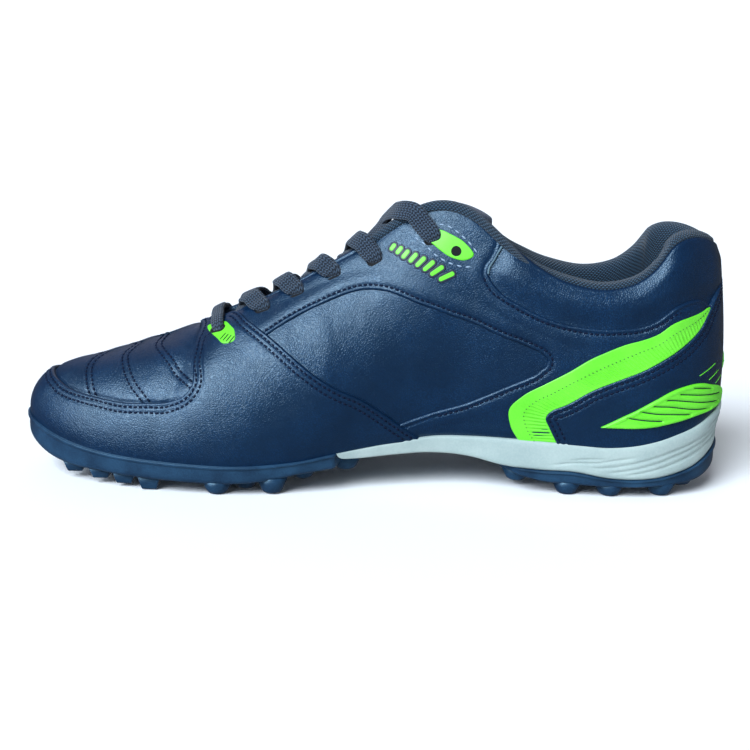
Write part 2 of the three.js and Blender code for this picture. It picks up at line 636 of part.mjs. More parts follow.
const TONGUE_TUCK = [0.86, 0.93, 1]; // where the tongue lies under the wall, up to the throat's edge
const TONGUE_CROWN = 0.12; // how high it arches in the throat, as a share of the gap
const TONGUE_SPACING = 0.045; // between its rings, in shares of the rim

function buildTongue() {
  const face = (along, offset) => {
    const tuck = (side) => TONGUE_TUCK.map((up) => skinPoint(along, side, up, offset));
    const inner = tuck(INNER);
    const outer = tuck(OUTER).reverse();
    const [a, b] = [inner[inner.length - 1], outer[0]];
    const arch = TONGUE_CROWN * a.distanceTo(b);
    const bridge = [0.25, 0.5, 0.75].map((t) => {
      const point = a.clone().lerp(b, t);
      point.z += arch * 4 * t * (1 - t);
      return point;
    });
    return [...inner, ...bridge, ...outer];
  };
  const top = -(UPPER_WALL + 2 * CLEARANCE);
  const ring = (along) => [...face(along, top), ...face(along, top - TONGUE_THICKNESS).reverse()];
  const throatFront = THROAT_END - 1.5 * TONGUE_SPACING;
  const rings = stops(COLLAR_FRONT, throatFront, TONGUE_SPACING).map(ring);
  const first = rings[0];
  const middle = (first[0].y + first[first.length / 2 - 1].y) / 2;
  const half = first.length / 2;
  const tips = TONGUE_TIP.map((row) =>
    first.map((point, i) => {
      const over = i < half ? first[first.length - 1 - i] : point;
      const lifted = over.clone().lerp(i < half ? point : over, i < half ? row.thick : 1);
      lifted.x -= row.back * TONGUE_TIP_LENGTH;
      lifted.y = mix(middle, lifted.y, row.width);
      lifted.z -= row.drop * TONGUE_TIP_LENGTH;
      return lifted;
    }));
  const lastRing = rings[rings.length - 1];
  const front = topX(throatFront);
  const slope = toplineHeight(front + TONGUE_TOE_LENGTH) - toplineHeight(front);
  const tucked = lastRing.map((point) =>
    new THREE.Vector3(point.x + TONGUE_TOE_LENGTH, point.y, point.z + slope - TONGUE_THICKNESS));
  return skinned([...tips.reverse(), ...rings, tucked]).subtract(keptClear());
}

// A flat lace along a path of places and the directions that it faces there.
function lace(path) {
  const rings = path.map(({ place, facing }, i) => {
    const ahead = path[Math.min(i + 1, path.length - 1)].place;
    const back = path[Math.max(i - 1, 0)].place;
    const along = new THREE.Vector3().subVectors(ahead, back).normalize();
    const across = new THREE.Vector3().crossVectors(along, facing).normalize();
    const up = new THREE.Vector3().crossVectors(across, along);
    return [[-1, -1], [1, -1], [1, 1], [-1, 1]].map(([w, t]) =>
      place.clone()
        .addScaledVector(across, (w * LACE_WIDTH) / 2)
        .addScaledVector(up, (t * LACE_THICKNESS) / 2));
  });
  return skinned(rings);
}

const EDGE_SHARE = 0.28; // how far a strand has turned to the next pair of eyelets at each edge
const DIVE_SHARE = 0.34; // how far inside the far edge a strand ends

// One strand, from an eyelet over the throat. It ends at the far eyelet, or dives inside the far edge.
// under is the thickness of the overlay that it crosses.
function strand(near, far, side, under, arch, dives) {
  const lift = CLEARANCE + under + LACE_LIFT + LACE_THICKNESS / 2;
  const along = (share) => mix(near.along, far.along, share);
  const over = (share, on, up, offset) => ({
    place: skinPoint(along(share), on, up, offset),
    facing: lastNormal(along(share), on, up),
  });
  const climb = (share, on, eyelet) => [
    over(share, on, eyelet.up, lift),
    over(Math.abs(share - EDGE_SHARE), on, 1, lift),
  ];
  const start = climb(0, side, near);
  const edge = start[1];
  const farEdge = over(1 - EDGE_SHARE, -side, 1, dives ? -LACE_THICKNESS / 2 : lift);
  const rise = arch + TONGUE_CROWN * edge.place.distanceTo(farEdge.place);
  const bridge = [0.25, 0.5, dives ? 1 - DIVE_SHARE : 0.75].map((t) => {
    const place = edge.place.clone().lerp(farEdge.place, t);
    place.z += rise * 4 * t * (1 - t);
    return { place, facing: edge.facing.clone().lerp(farEdge.facing, t).normalize() };
  });
  const end = dives ? [] : climb(1, -side, far).reverse();
  return lace([...start, ...bridge, ...end]);
}

const group = new THREE.Group();

function place(name, solid, finish) {
  const { vertProperties, triVerts, numProp } = solid.getMesh();
  const positions = new Float32Array((vertProperties.length / numProp) * 3);
  for (let i = 0; i < positions.length / 3; i += 1) {
    for (let k = 0; k < 3; k += 1) positions[3 * i + k] = vertProperties[numProp * i + k];
  }
  const geometry = new THREE.BufferGeometry();
  geometry.setAttribute("position", new THREE.BufferAttribute(positions, 3));
  geometry.setIndex(new THREE.BufferAttribute(new Uint32Array(triVerts), 1));
  geometry.computeVertexNormals();
  const mesh = new THREE.Mesh(geometry, new THREE.MeshStandardMaterial({ metalness: 0, ...finish }));
  mesh.name = name;
  group.add(mesh);
}

place("outsole", buildOutsole(), NAVY_RUBBER);
place("midsole", buildMidsole(), PALE_FOAM);
place("insole", buildInsole(), KNIT);
place("upper", buildUpper(), NAVY_LEATHER);
place("tongue", buildTongue(), KNIT);
place("collar_lining", buildCollarLining(), KNIT);
place("toe_guard", buildToeGuard(), NAVY_LEATHER);
place("heel_counter", overlay(HEEL_COUNTER, [INNER, OUTER], COUNTER_THICKNESS), NAVY_LEATHER);
for (const [side, hand] of [[INNER, "inner"], [OUTER, "outer"]]) {
  place(`eyestay_${hand}`, buildEyestay(side), NAVY_LEATHER);
  place(`side_band_${hand}`, overlay(SIDE_BAND, [side], BAND_THICKNESS), GREEN);
  place(`heel_insert_${hand}`,
    overlay(HEEL_INSERT, [side], INSERT_THICKNESS, CLEARANCE + COUNTER_THICKNESS), GREEN);
}
for (let i = 0; i < LACED; i += 1) {
  const [near, far] = [EYELETS[i], EYELETS[Math.max(0, i - 1)]];
  const arch = i === LACED - 1 ? TOP_ARCH : 0;
  if (i === 0) {
    place("lace_bar", strand(near, far, INNER, GUARD_THICKNESS, arch, false), LACE_CLOTH);
  } else {
    const crossing = bothSides((side) => strand(near, far, side, EYESTAY_THICKNESS, arch, true));
    place(`lace_crossing_${i}`, crossing, LACE_CLOTH);
  }
}

export default group;
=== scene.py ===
import math

import bmesh
import bpy
import numpy as np
from mathutils import Matrix, Vector


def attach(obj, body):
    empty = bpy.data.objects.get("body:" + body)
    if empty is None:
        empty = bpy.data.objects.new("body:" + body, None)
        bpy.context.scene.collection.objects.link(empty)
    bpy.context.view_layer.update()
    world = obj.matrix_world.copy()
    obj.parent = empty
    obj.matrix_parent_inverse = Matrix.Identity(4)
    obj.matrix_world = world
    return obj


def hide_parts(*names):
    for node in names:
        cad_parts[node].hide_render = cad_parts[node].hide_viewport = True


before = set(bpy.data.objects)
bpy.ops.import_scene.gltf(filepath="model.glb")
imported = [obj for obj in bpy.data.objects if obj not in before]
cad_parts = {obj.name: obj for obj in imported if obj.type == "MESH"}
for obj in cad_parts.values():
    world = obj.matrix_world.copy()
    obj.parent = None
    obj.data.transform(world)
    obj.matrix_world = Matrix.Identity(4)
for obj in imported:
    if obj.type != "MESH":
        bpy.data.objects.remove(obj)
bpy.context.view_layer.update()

MM = 0.001

# Driving sizes, the same as the solids'
SHOE_LENGTH = 300.0
BALL_WIDTH = 104.0
TOPLINE_HEIGHT = 119.0
SEAT_HEIGHT = 23.5
PARTING_HEIGHT = 16.2
GROUND_CLEARANCE = 5.4
ARCH_EASE = 4.5
SEAT_EASE = 2.25
THROAT_DROP = 4.0
UPPER_WALL = 2.2
UPPER_INSET = 2.0
CLEARANCE = 0.3
TONGUE_THICKNESS = 3.6
WAIST_INSET = 11.0
MIDSOLE_TIP = 15.0
LACE_WIDTH = 8.4
LACE_THICKNESS = 1.9
STUD_EDGE_INSET = 8.0
HALF_LENGTH = SHOE_LENGTH / 2
HALF_BALL = BALL_WIDTH / 2
INNER, OUTER = 1, -1
WALL_SIZE = np.array([330.0, 90.0])  # about the wall's length and height, for even steps on it

# Heights of the layers over the base leather
QUARTER_LIFT = 0.9
GUARD_LIFT = 1.3
COUNTER_LIFT = 1.7
BAND_LIFT = 0.45
INSERT_LIFT = 1.0

# Seams
STITCH_PITCH = 2.25
STITCH_LENGTH = 1.7
STITCH_WIDTH = 1.0
SEAM_DISTANCE = 2.0  # from an edge to the first row
SEAM_SPACING = 2.3  # between the two rows of a double seam


def table(columns, rows):
    """The columns of a table by name, as arrays."""
    values = np.array(rows, float)
    return {name: values[:, i] for i, name in enumerate(columns.split())}


# Sections from the back of the heel to the tip of the toe, in shares of half the length, of half
# the ball width and, for lowUp and highDrop, of the wall's height, as in the solids.
SECTIONS = table("at inner outer topAt ridge gap lowOut lowUp highOut highDrop", [
    [-1.0, 0.115, 0.115, -0.957, 0.115, 0.0, 0.045, 0.34, 0.07, 0.35],
    [-0.979, 0.394, -0.163, -0.94, 0.115, 0.183, 0.045, 0.34, 0.077, 0.35],
    [-0.92, 0.625, -0.394, -0.89, 0.115, 0.327, 0.05, 0.34, 0.09, 0.35],
    [-0.813, 0.769, -0.538, -0.8, 0.12, 0.49, 0.06, 0.33, 0.1, 0.35],
    [-0.647, 0.808, -0.596, -0.647, 0.125, 0.57, 0.06, 0.33, 0.08, 0.33],
    [-0.413, 0.74, -0.683, -0.413, 0.13, 0.52, 0.07, 0.33, 0.11, 0.34],
    [-0.2, 0.683, -0.798, -0.2, 0.14, 0.31, 0.096, 0.36, 0.25, 0.28],
    [0.013, 0.779, -0.933, 0.0, 0.145, 0.215, 0.096, 0.35, 0.31, 0.24],
    [0.2, 0.923, -1.0, 0.18, 0.154, 0.183, 0.077, 0.33, 0.37, 0.18],
    [0.38, 1.0, -0.985, 0.333, 0.163, 0.154, 0.05, 0.34, 0.42, 0.14],
    [0.527, 0.975, -0.93, 0.433, 0.163, 0.13, 0.04, 0.36, 0.44, 0.11],
    [0.593, 0.95, -0.89, 0.482, 0.165, 0.0, 0.04, 0.36, 0.45, 0.09],
    [0.647, 0.925, -0.84, 0.507, 0.167, 0.0, 0.04, 0.36, 0.46, 0.08],
    [0.74, 0.86, -0.715, 0.59, 0.177, 0.0, 0.04, 0.37, 0.44, 0.08],
    [0.847, 0.745, -0.51, 0.685, 0.192, 0.0, 0.04, 0.39, 0.39, 0.08],
    [0.933, 0.585, -0.25, 0.76, 0.21, 0.0, 0.04, 0.42, 0.33, 0.09],
    [0.983, 0.43, -0.03, 0.805, 0.221, 0.0, 0.04, 0.45, 0.3, 0.1],
    [1.0, 0.21, 0.21, 0.827, 0.225, 0.0, 0.04, 0.47, 0.29, 0.11],
])

# Height of collar, throat and the ridge of the toe, as shares of the topline's height.
TOPLINE = table("at height", [
    [-0.957, 0.87], [-0.92, 0.891], [-0.873, 0.901], [-0.833, 0.893], [-0.799, 0.868], [-0.76, 0.805],
    [-0.713, 0.756], [-0.667, 0.734], [-0.62, 0.726], [-0.56, 0.734], [-0.491, 0.76], [-0.41, 0.821],
    [-0.329, 0.903], [-0.26, 0.973], [-0.207, 0.999], [-0.16, 1.0], [-0.113, 0.982], [-0.059, 0.943],
    [0.02, 0.868], [0.12, 0.79], [0.22, 0.716], [0.333, 0.638], [0.44, 0.566], [0.507, 0.538],
    [0.59, 0.5], [0.685, 0.458], [0.76, 0.428], [0.827, 0.408],
])

# Heights of the sole along its inner side, as shares of seat, parting and ground clearance.
SOLE = table("at seat parting base", [
    [-1.0, 1.3, 1.22, 1.7], [-0.96, 1.17, 1.04, 1.4], [-0.9, 1.02, 0.78, 1.12], [-0.82, 0.95, 0.58, 1.0],
    [-0.74, 0.94, 0.5, 0.9], [-0.66, 0.96, 0.52, 0.9], [-0.56, 0.99, 0.66, 0.98], [-0.47, 1.0, 0.66, 1.1],
    [-0.42, 1.01, 0.68, 1.4], [-0.36, 1.02, 0.74, 1.75], [-0.27, 1.02, 0.92, 2.3], [-0.16, 1.0, 1.0, 2.55],
    [-0.06, 0.9, 0.96, 2.5], [0.04, 0.8, 0.9, 2.25], [0.1, 0.74, 0.9, 2.0], [0.2, 0.63, 0.82, 1.66],
    [0.29, 0.58, 0.76, 1.2], [0.38, 0.56, 0.72, 0.98], [0.52, 0.575, 0.74, 0.98], [0.64, 0.61, 0.78, 1.1],
    [0.76, 0.68, 0.88, 1.3], [0.86, 0.8, 1.1, 1.5], [0.94, 0.95, 1.3, 2.1], [1.0, 1.1, 1.5, 3.1],
])

# One row of studs for each line: inner and outer in stud insets from that rim, height of the
# ground clearance. The toe's studs are blocks with four sides.
STUD_ROWS = [
    # at, count, sides, inner, outer, height
    [0.868, 3, 4, 1.0, 1.0, 0.8], [0.776, 4, 4, 0.9, 1.0, 0.8], [0.702, 4, 4, 0.9, 0.9, 0.85],
    [0.625, 5, 4, 0.8, 0.9, 1.0], [0.527, 4, 6, 2.4, 1.8, 1.1], [0.43, 5, 6, 0.8, 0.8, 1.1],
    [0.348, 4, 6, 1.8, 1.6, 1.1], [0.27, 5, 6, 0.8, 0.8, 1.2], [0.17, 4, 6, 2.2, 1.4, 1.2],
    [0.05, 2, 6, 2.0, 2.6, 1.0], [-0.403, 4, 6, 1.6, 1.6, 0.95], [-0.543, 4, 6, 0.7, 0.7, 1.1],
    [-0.667, 4, 6, 0.7, 0.7, 1.1], [-0.827, 4, 6, 0.8, 0.8, 1.1], [-0.945, 2, 6, 1.4, 1.4, 0.9],
]

# Eyelets from the throat's base to its top. The last one is spare.
EYELETS = [(0.724, 0.843), (0.656, 0.888), (0.609, 0.902), (0.561, 0.907), (0.509, 0.868), (0.433, 0.83),
           (0.402, 0.787)]
LACED = 6

# Panels as strips. Each row joins a place on the panel's low edge to one on its high edge, both by
# how far along the rim and how far up the wall they are.
GUARD = table("lowAlong lowUp highAlong highUp", [
    [0.428, -0.02, 0.436, -0.01], [0.45, -0.02, 0.466, 0.077], [0.468, -0.02, 0.491, 0.158],
    [0.485, -0.02, 0.517, 0.24], [0.503, -0.02, 0.544, 0.31], [0.525, -0.02, 0.593, 0.48],
    [0.545, -0.02, 0.638, 0.67], [0.56, -0.02, 0.671, 0.818], [0.577, -0.02, 0.713, 1.0],
    [0.593, -0.02, 0.737, 1.0], [0.607, -0.02, 0.759, 1.0], [0.617, -0.02, 0.781, 1.0],
    [0.635, -0.02, 0.769, 0.932], [0.662, -0.02, 0.756, 0.76], [0.685, -0.02, 0.742, 0.6],
    [0.705, -0.02, 0.734, 0.478], [0.722, -0.02, 0.739, 0.42], [0.745, -0.02, 0.757, 0.38],
    [0.78, -0.02, 0.79, 0.367], [0.82, -0.02, 0.821, 0.375], [0.86, -0.02, 0.86, 0.405],
    [0.902, -0.02, 0.902, 0.445], [0.922, -0.02, 0.922, 0.475], [0.948, -0.02, 0.948, 0.53],
    [0.976, -0.02, 0.976, 0.6], [1.0, -0.02, 1.0, 0.64],
])
QUARTER = table("lowAlong lowUp highAlong highUp", [
    [0.668, 0.66, 0.71, 1.0], [0.645, 0.7, 0.68, 1.0], [0.622, 0.738, 0.65, 1.0],
    [0.575, 0.765, 0.59, 1.0], [0.538, 0.76, 0.53, 1.0], [0.516, 0.733, 0.48, 1.0],
    [0.497, 0.69, 0.44, 1.0], [0.47, 0.615, 0.39, 1.0],
    [0.445, 0.555, 0.35, 0.995], [0.415, 0.512, 0.352, 0.9], [0.385, 0.505, 0.361, 0.77],
    [0.362, 0.514, 0.345, 0.735], [0.343, 0.525, 0.32, 0.745], [0.325, 0.54, 0.275, 0.76],
    [0.305, 0.545, 0.215, 0.765], [0.294, 0.535, 0.15, 0.725], [0.289, 0.51, 0.085, 0.697],
    [0.29, 0.48, 0.06, 0.55], [0.296, 0.44, 0.12, 0.3], [0.315, 0.352, 0.22, 0.08],
    [0.359, 0.203, 0.29, -0.02], [0.414, 0.105, 0.4, -0.02], [0.464, 0.072, 0.46, -0.02],
    [0.51, 0.06, 0.53, -0.02],
])
COUNTER = table("lowAlong lowUp highAlong highUp", [
    [0.0, -0.02, 0.0, 0.86], [0.029, -0.02, 0.029, 0.82], [0.07, -0.02, 0.075, 0.69],
    [0.1, -0.02, 0.105, 0.562], [0.13, -0.02, 0.136, 0.5], [0.155, -0.02, 0.161, 0.495],
    [0.185, -0.02, 0.192, 0.465], [0.22, -0.02, 0.23, 0.388], [0.245, -0.02, 0.265, 0.26],
    [0.258, -0.02, 0.284, 0.198], [0.265, -0.02, 0.289, 0.15], [0.27, -0.02, 0.284, 0.092],
    [0.2735, -0.02, 0.274, -0.01],
])
BAND = table("lowAlong lowUp highAlong highUp", [
    [0.08, 0.66, 0.082, 0.672], [0.104, 0.562, 0.112, 0.648], [0.135, 0.5, 0.152, 0.655],
    [0.162, 0.49, 0.195, 0.664], [0.192, 0.457, 0.23, 0.598], [0.23, 0.38, 0.264, 0.468],
    [0.262, 0.262, 0.292, 0.36], [0.281, 0.2, 0.317, 0.255], [0.286, 0.15, 0.332, 0.15],
    [0.281, 0.09, 0.329, 0.07], [0.268, -0.015, 0.318, -0.015],
])
INSERT = table("lowAlong lowUp highAlong highUp", [
    [0.022, 0.13, 0.022, 0.14], [0.039, 0.12, 0.039, 0.2], [0.076, 0.132, 0.076, 0.268],
    [0.102, 0.14, 0.102, 0.305], [0.126, 0.133, 0.126, 0.31], [0.159, 0.13, 0.159, 0.29],
    [0.189, 0.13, 0.189, 0.228], [0.222, 0.13, 0.222, 0.135],
])

# A plain pad at the back of the heel
HEEL_PAD = table("lowAlong lowUp highAlong highUp", [
    [0.0, 0.26, 0.0, 0.39], [0.006, 0.262, 0.006, 0.388], [0.012, 0.275, 0.012, 0.375],
    [0.016, 0.31, 0.016, 0.34],
])

# Double-stitched channels across the toe panel, from the guard's edge up to the ridge.
CHANNELS = [
    [(0.866, 0.40), (0.891, 0.547), (0.917, 0.713), (0.935, 0.89), (0.94, 1.0)],
    [(0.788, 0.36), (0.823, 0.51), (0.851, 0.662), (0.871, 0.812), (0.876, 1.0)],
    [(0.731, 0.47), (0.774, 0.59), (0.811, 0.745), (0.827, 0.845), (0.834, 1.0)],
]
CHANNEL_HALF = 1.25


def smooth(start, end, value):
    t = np.clip((value - start) / (end - start), 0, 1)
    return t * t * (3 - 2 * t)


def mix(a, b, t):
    return a + (b - a) * t


def curve(stops, values, ends="open"):
    """A cubic curve through the values. An even column is level at both ends, an open one runs on."""
    stops = np.asarray(stops, float)
    values = np.asarray(values, float)
    last = len(stops) - 1
    run = np.diff(stops)
    rise = np.diff(values) / run
    slope = np.zeros(len(stops))
    slope[1:last] = mix(rise[:-1], rise[1:], run[:-1] / (run[:-1] + run[1:]))
    if ends == "open":
        slope[0], slope[last] = rise[0], rise[-1]

    def at(x):
        t = np.clip(x, stops[0], stops[last])
        i = np.clip(np.searchsorted(stops, t, side="right") - 1, 0, last - 1)
        span = stops[i + 1] - stops[i]
        s = (t - stops[i]) / span
        s2, s3 = s * s, s ** 3
        return ((2 * s3 - 3 * s2 + 1) * values[i] + (s3 - 2 * s2 + s) * span * slope[i]
                + (3 * s2 - 2 * s3) * values[i + 1] + (s3 - s2) * span * slope[i + 1])
    return at


run = np.diff(SECTIONS["at"]) * HALF_LENGTH
rise = np.diff((SECTIONS["inner"] - SECTIONS["outer"]) / 2) * HALF_BALL
STOPS = np.concatenate([[0], np.cumsum(np.hypot(run, rise))])
STOPS /= STOPS[-1]
THROAT_END = STOPS[np.nonzero((SECTIONS["gap"] == 0) & (SECTIONS["at"] > 0))[0][0]]


def section(name, scale, ends="open"):
    return curve(STOPS, SECTIONS[name] * scale, ends)


rim_x = section("at", HALF_LENGTH, "even")
rim_middle = curve(STOPS, (SECTIONS["inner"] + SECTIONS["outer"]) / 2 * HALF_BALL, "even")
rim_half = curve(STOPS, (SECTIONS["inner"] - SECTIONS["outer"]) / 2 * HALF_BALL)
top_x = section("topAt", HALF_LENGTH, "even")
ridge_y = section("ridge", HALF_BALL, "even")
gap_curve = section("gap", HALF_BALL)
low_out = section("lowOut", HALF_BALL, "even")
low_up = section("lowUp", 1, "even")
high_out = section("highOut", HALF_BALL, "even")
high_drop = section("highDrop", 1, "even")
topline_height = curve(TOPLINE["at"] * HALF_LENGTH, TOPLINE["height"] * TOPLINE_HEIGHT)
inner_seat = curve(SOLE["at"] * HALF_LENGTH, SOLE["seat"] * SEAT_HEIGHT)
inner_parting = curve(SOLE["at"] * HALF_LENGTH, SOLE["parting"] * PARTING_HEIGHT)
inner_base = curve(SOLE["at"] * HALF_LENGTH, SOLE["base"] * GROUND_CLEARANCE)


def arch_share(x):
    return smooth(0.36, 0.0, x / HALF_LENGTH) * smooth(-0.55, -0.25, x / HALF_LENGTH)


def seat_at(x, inward):
    return inner_seat(x) - SEAT_EASE * arch_share(x) * inward


def parting_at(x, inward):
    return inner_parting(x) - ARCH_EASE * arch_share(x) * inward


def base_at(x, inward):
    return inner_base(x) - ARCH_EASE * arch_share(x) * inward


STEP = 1e-3


def rim(along, side, inset=0.0):
    """Places on the sole's rim and the direction straight out from it, seen from above."""
    def at(t):
        return np.stack([rim_x(t), rim_middle(t) + side * rim_half(t)], -1)
    ahead = at(np.clip(along + STEP, 0, 1)) - at(np.clip(along - STEP, 0, 1))
    out = np.stack([-ahead[..., 1] * side, ahead[..., 0] * side], -1)
    out = np.where((along < STEP)[..., None], [-1.0, 0.0], out)
    out = np.where((along > 1 - STEP)[..., None], [1.0, 0.0], out)
    out /= np.linalg.norm(out, axis=-1, keepdims=True)
    return at(along) - out * np.asarray(inset)[..., None], out


def top_edge(along, side):
    """The edge of collar and throat or, past the throat, the ridge of the toe."""
    x = top_x(along)
    share = x / HALF_LENGTH
    drop = THROAT_DROP * smooth(-0.45, -0.2, share) * smooth(0.46, 0.2, share) * (side < 0)
    gap = np.where(along >= THROAT_END, 0, np.maximum(0, gap_curve(along)))
    return np.stack([x, ridge_y(along) + side * gap, topline_height(x) - drop], -1)


def last(along, side, up):
    """Places on the upper's outer face. up runs from 0 at the sole to 1 at the top edge."""
    along, side, up = np.broadcast_arrays(np.asarray(along, float), side, np.asarray(up, float))
    foot, out = rim(along, side, np.full(along.shape, UPPER_INSET))
    seat = seat_at(foot[..., 0], (side < 0) * 1.0) + CLEARANCE
    low = np.concatenate([foot, seat[..., None]], -1)
    top = top_edge(along, side)
    wall = top[..., 2] - seat
    out = np.concatenate([out, np.zeros(out.shape[:-1] + (1,))], -1)
    lift = np.array([0, 0, 1.0])
    first = low + out * low_out(along)[..., None] + lift * (low_up(along) * wall)[..., None]
    second = top + out * high_out(along)[..., None] - lift * (high_drop(along) * wall)[..., None]
    u = up[..., None]
    v = 1 - u
    return v ** 3 * low + 3 * v * v * u * first + 3 * v * u * u * second + u ** 3 * top


def unit(vectors):
    return vectors / np.maximum(np.linalg.norm(vectors, axis=-1, keepdims=True), 1e-12)


def last_normal(along, side, up):
    """Outward normals of the last. Where its two halves meet they are the mean of both."""
    along, side, up = np.broadcast_arrays(np.asarray(along, float), side, np.asarray(up, float))

    def of(half):
        ahead = last(np.minimum(along + STEP, 1), half, up) - last(np.maximum(along - STEP, 0), half, up)
        climb = last(along, half, up + STEP) - last(along, half, up - STEP)
        return unit(np.cross(climb, ahead) * half[..., None])
    own = of(side)
    other = of(-side)
    meet = (along < STEP) | (along > 1 - STEP) | ((along >= THROAT_END) & (up > 1 - STEP))
    return unit(np.where(meet[..., None], own + other, own))


def skin(along, side, up, offset=0.0):
    return last(along, side, up) + last_normal(along, side, up) * np.asarray(offset)[..., None]


def lengths(line):
    """How far along a line of places each one is."""
    steps = np.linalg.norm(np.diff(line, axis=0), axis=1)
    return np.concatenate([[0], np.cumsum(steps)])


def curved(stops, rows, t):
    """A smooth line through rows of numbers at the stops, read at t."""
    return np.stack([curve(stops, rows[:, k])(t) for k in range(rows.shape[1])], -1)


def spline(points, count):
    """A smooth line through places (along, up) of the wall, evenly spaced."""
    points = np.asarray(points, float)
    stops = lengths(points * WALL_SIZE)
    line = curved(stops, points, np.linspace(0, stops[-1], 8 * len(points)))
    run = lengths(line * WALL_SIZE)
    t = np.linspace(0, run[-1], count)
    return np.stack([np.interp(t, run, line[:, k]) for k in range(2)], -1)


def wall_slopes(along, side, up):
    """How far a place of the wall moves for a change of along and for one of up."""
    by_along = (last(along + STEP, side, up) - last(along - STEP, side, up)) / (2 * STEP)
    by_up = (last(along, side, up + STEP) - last(along, side, up - STEP)) / (2 * STEP)
    return by_along, by_up


def stepped(along, up, slopes, want):
    """Places (along, up) moved on the wall by wanted steps in millimetres, where its slopes are known."""
    by_along, by_up = slopes
    a = np.sum(by_along * by_along, -1)
    b = np.sum(by_along * by_up, -1)
    c = np.sum(by_up * by_up, -1)
    p = np.sum(by_along * want, -1)
    q = np.sum(by_up * want, -1)
    size = np.maximum(a * c - b * b, 1e-9)
    return np.stack([along + (c * p - b * q) / size, up + (a * q - b * p) / size], -1)


def shifted(line, side, distance):
    """A line of places (along, up) moved sideways on the wall by a distance in millimetres."""
    along, up = line[:, 0], line[:, 1]
    ahead = unit(np.gradient(last(along, side, up), axis=0))
    sideways = unit(np.cross(last_normal(along, side, up), ahead)) * side
    return stepped(along, up, wall_slopes(along, side, up), sideways * np.asarray(distance)[..., None])


REACH = 14.0  # distances beyond this are not needed


def distance_to(places, line):
    """The distance from each place to a line of places, no more than REACH."""
    flat = places.reshape(-1, 3)
    result = np.full(len(flat), REACH)
    low, high = line.min(0) - REACH, line.max(0) + REACH
    near = np.nonzero(np.all((flat > low) & (flat < high), axis=1))[0]
    start, step = line[:-1], np.diff(line, axis=0)
    size = np.maximum(np.sum(step * step, -1), 1e-9)
    for k in range(0, len(near), 4000):
        some = near[k:k + 4000]
        to = flat[some, None, :] - start[None]
        t = np.clip(np.sum(to * step, -1) / size, 0, 1)
        gap = np.linalg.norm(to - step * t[..., None], axis=-1)
        result[some] = np.minimum(result[some], gap.min(1))
    return result.reshape(places.shape[:-1])


def rounded(distance, radius):
    """A rolled edge: 0 at the edge, 1 from the radius on."""
    t = np.clip(1 - distance / radius, 0, 1)
    return np.sqrt(1 - t * t)


def trough(distance, half):
    """1 on a line, fading to 0 at half its width."""
    return 1 - smooth(0, half, distance)


# Meshes

def build(name, places, material, nodes=(), drop=None, uv=None, values=None, close=True):
    """A piece from a grid whose corners are given, its seams merged and its ends closed. drop marks
    the corners between which no face stays, uv is in millimetres, values are named numbers."""
    columns, rows = places.shape[:2]
    bm = bmesh.new()
    bmesh.ops.create_grid(bm, x_segments=columns - 1, y_segments=rows - 1, size=1.0)
    mesh = bpy.data.meshes.new(name)
    bm.to_mesh(mesh)
    flat = np.empty(3 * len(mesh.vertices))
    mesh.vertices.foreach_get("co", flat)
    flat = flat.reshape(-1, 3)
    i = np.rint((flat[:, 0] + 1) / 2 * (columns - 1)).astype(int)
    j = np.rint((flat[:, 1] + 1) / 2 * (rows - 1)).astype(int)
    mesh.vertices.foreach_set("co", (places[i, j] * MM).ravel())
    for key, numbers in dict(values or {}, **({} if drop is None else {"drop": drop * 1.0})).items():
        attribute = mesh.attributes.new(key, "FLOAT", "POINT")
        attribute.data.foreach_set("value", numbers[i, j].astype(np.float32))
    if uv is not None:
        layer = mesh.uv_layers.new(name="UVMap")
        corner = np.empty(len(mesh.loops), int)
        mesh.loops.foreach_get("vertex_index", corner)
        layer.data.foreach_set("uv", uv[i, j][corner].ravel())
    bm.clear()
    bm.from_mesh(mesh)
    if drop is not None:
        mark = bm.verts.layers.float["drop"]
        gone = [face for face in bm.faces if all(vert[mark] > 0.5 for vert in face.verts)]
        bmesh.ops.delete(bm, geom=gone, context="FACES")
        bm.verts.layers.float.remove(mark)
    bmesh.ops.remove_doubles(bm, verts=bm.verts, dist=1e-6)
    border = [edge for edge in bm.edges if edge.is_boundary]
    if close and border:
        bmesh.ops.holes_fill(bm, edges=border, sides=0)
    bmesh.ops.recalc_face_normals(bm, faces=bm.faces)
    for face in bm.faces:
        face.smooth = True
    bm.to_mesh(mesh)
    bm.free()
    return finished(name, mesh, material, nodes)


def finished(name, mesh, material, nodes=()):
    """The object of a mesh, with its material, under the root body, with the solids that it stands for
    hidden.
    """
    mesh.materials.clear()
    mesh.materials.append(material)
    piece = bpy.data.objects.new(name, mesh)
    bpy.context.scene.collection.objects.link(piece)
    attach(piece, "root")
    if nodes:
        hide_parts(*nodes)
    return piece


def cosine_shares(count):
    """Shares from 0 to 1, closer together near both ends."""
    return (1 - np.cos(np.linspace(0, math.pi, count))) / 2


def strip_lines(rows, count):
    """The low and high edge of a strip as evenly followed lines of places (along, up)."""
    low = np.stack([rows["lowAlong"], rows["lowUp"]], -1)
    high = np.stack([rows["highAlong"], rows["highUp"]], -1)
    steps = np.maximum(np.linalg.norm(np.diff(high * WALL_SIZE, axis=0), axis=1),
                       np.linalg.norm(np.diff(low * WALL_SIZE, axis=0), axis=1))
    stops = np.concatenate([[0], np.cumsum(steps)])
    t = np.linspace(0, stops[-1], count)
    return curved(stops, low, t), curved(stops, high, t)


def on_wall(line, side, offset=0.0):
    return skin(line[:, 0], side, line[:, 1], np.full(len(line), offset))


def away_from(line, side, places):
    """The distance from each place to a line (along, up) of the wall."""
    return distance_to(places, on_wall(line, side))


def point(along, side, up, offset=0.0):
    """One place at an offset from the wall, and the normal there."""
    along, up = np.array([along]), np.array([up])
    return skin(along, side, up, np.array([offset]))[0], last_normal(along, side, up)[0]


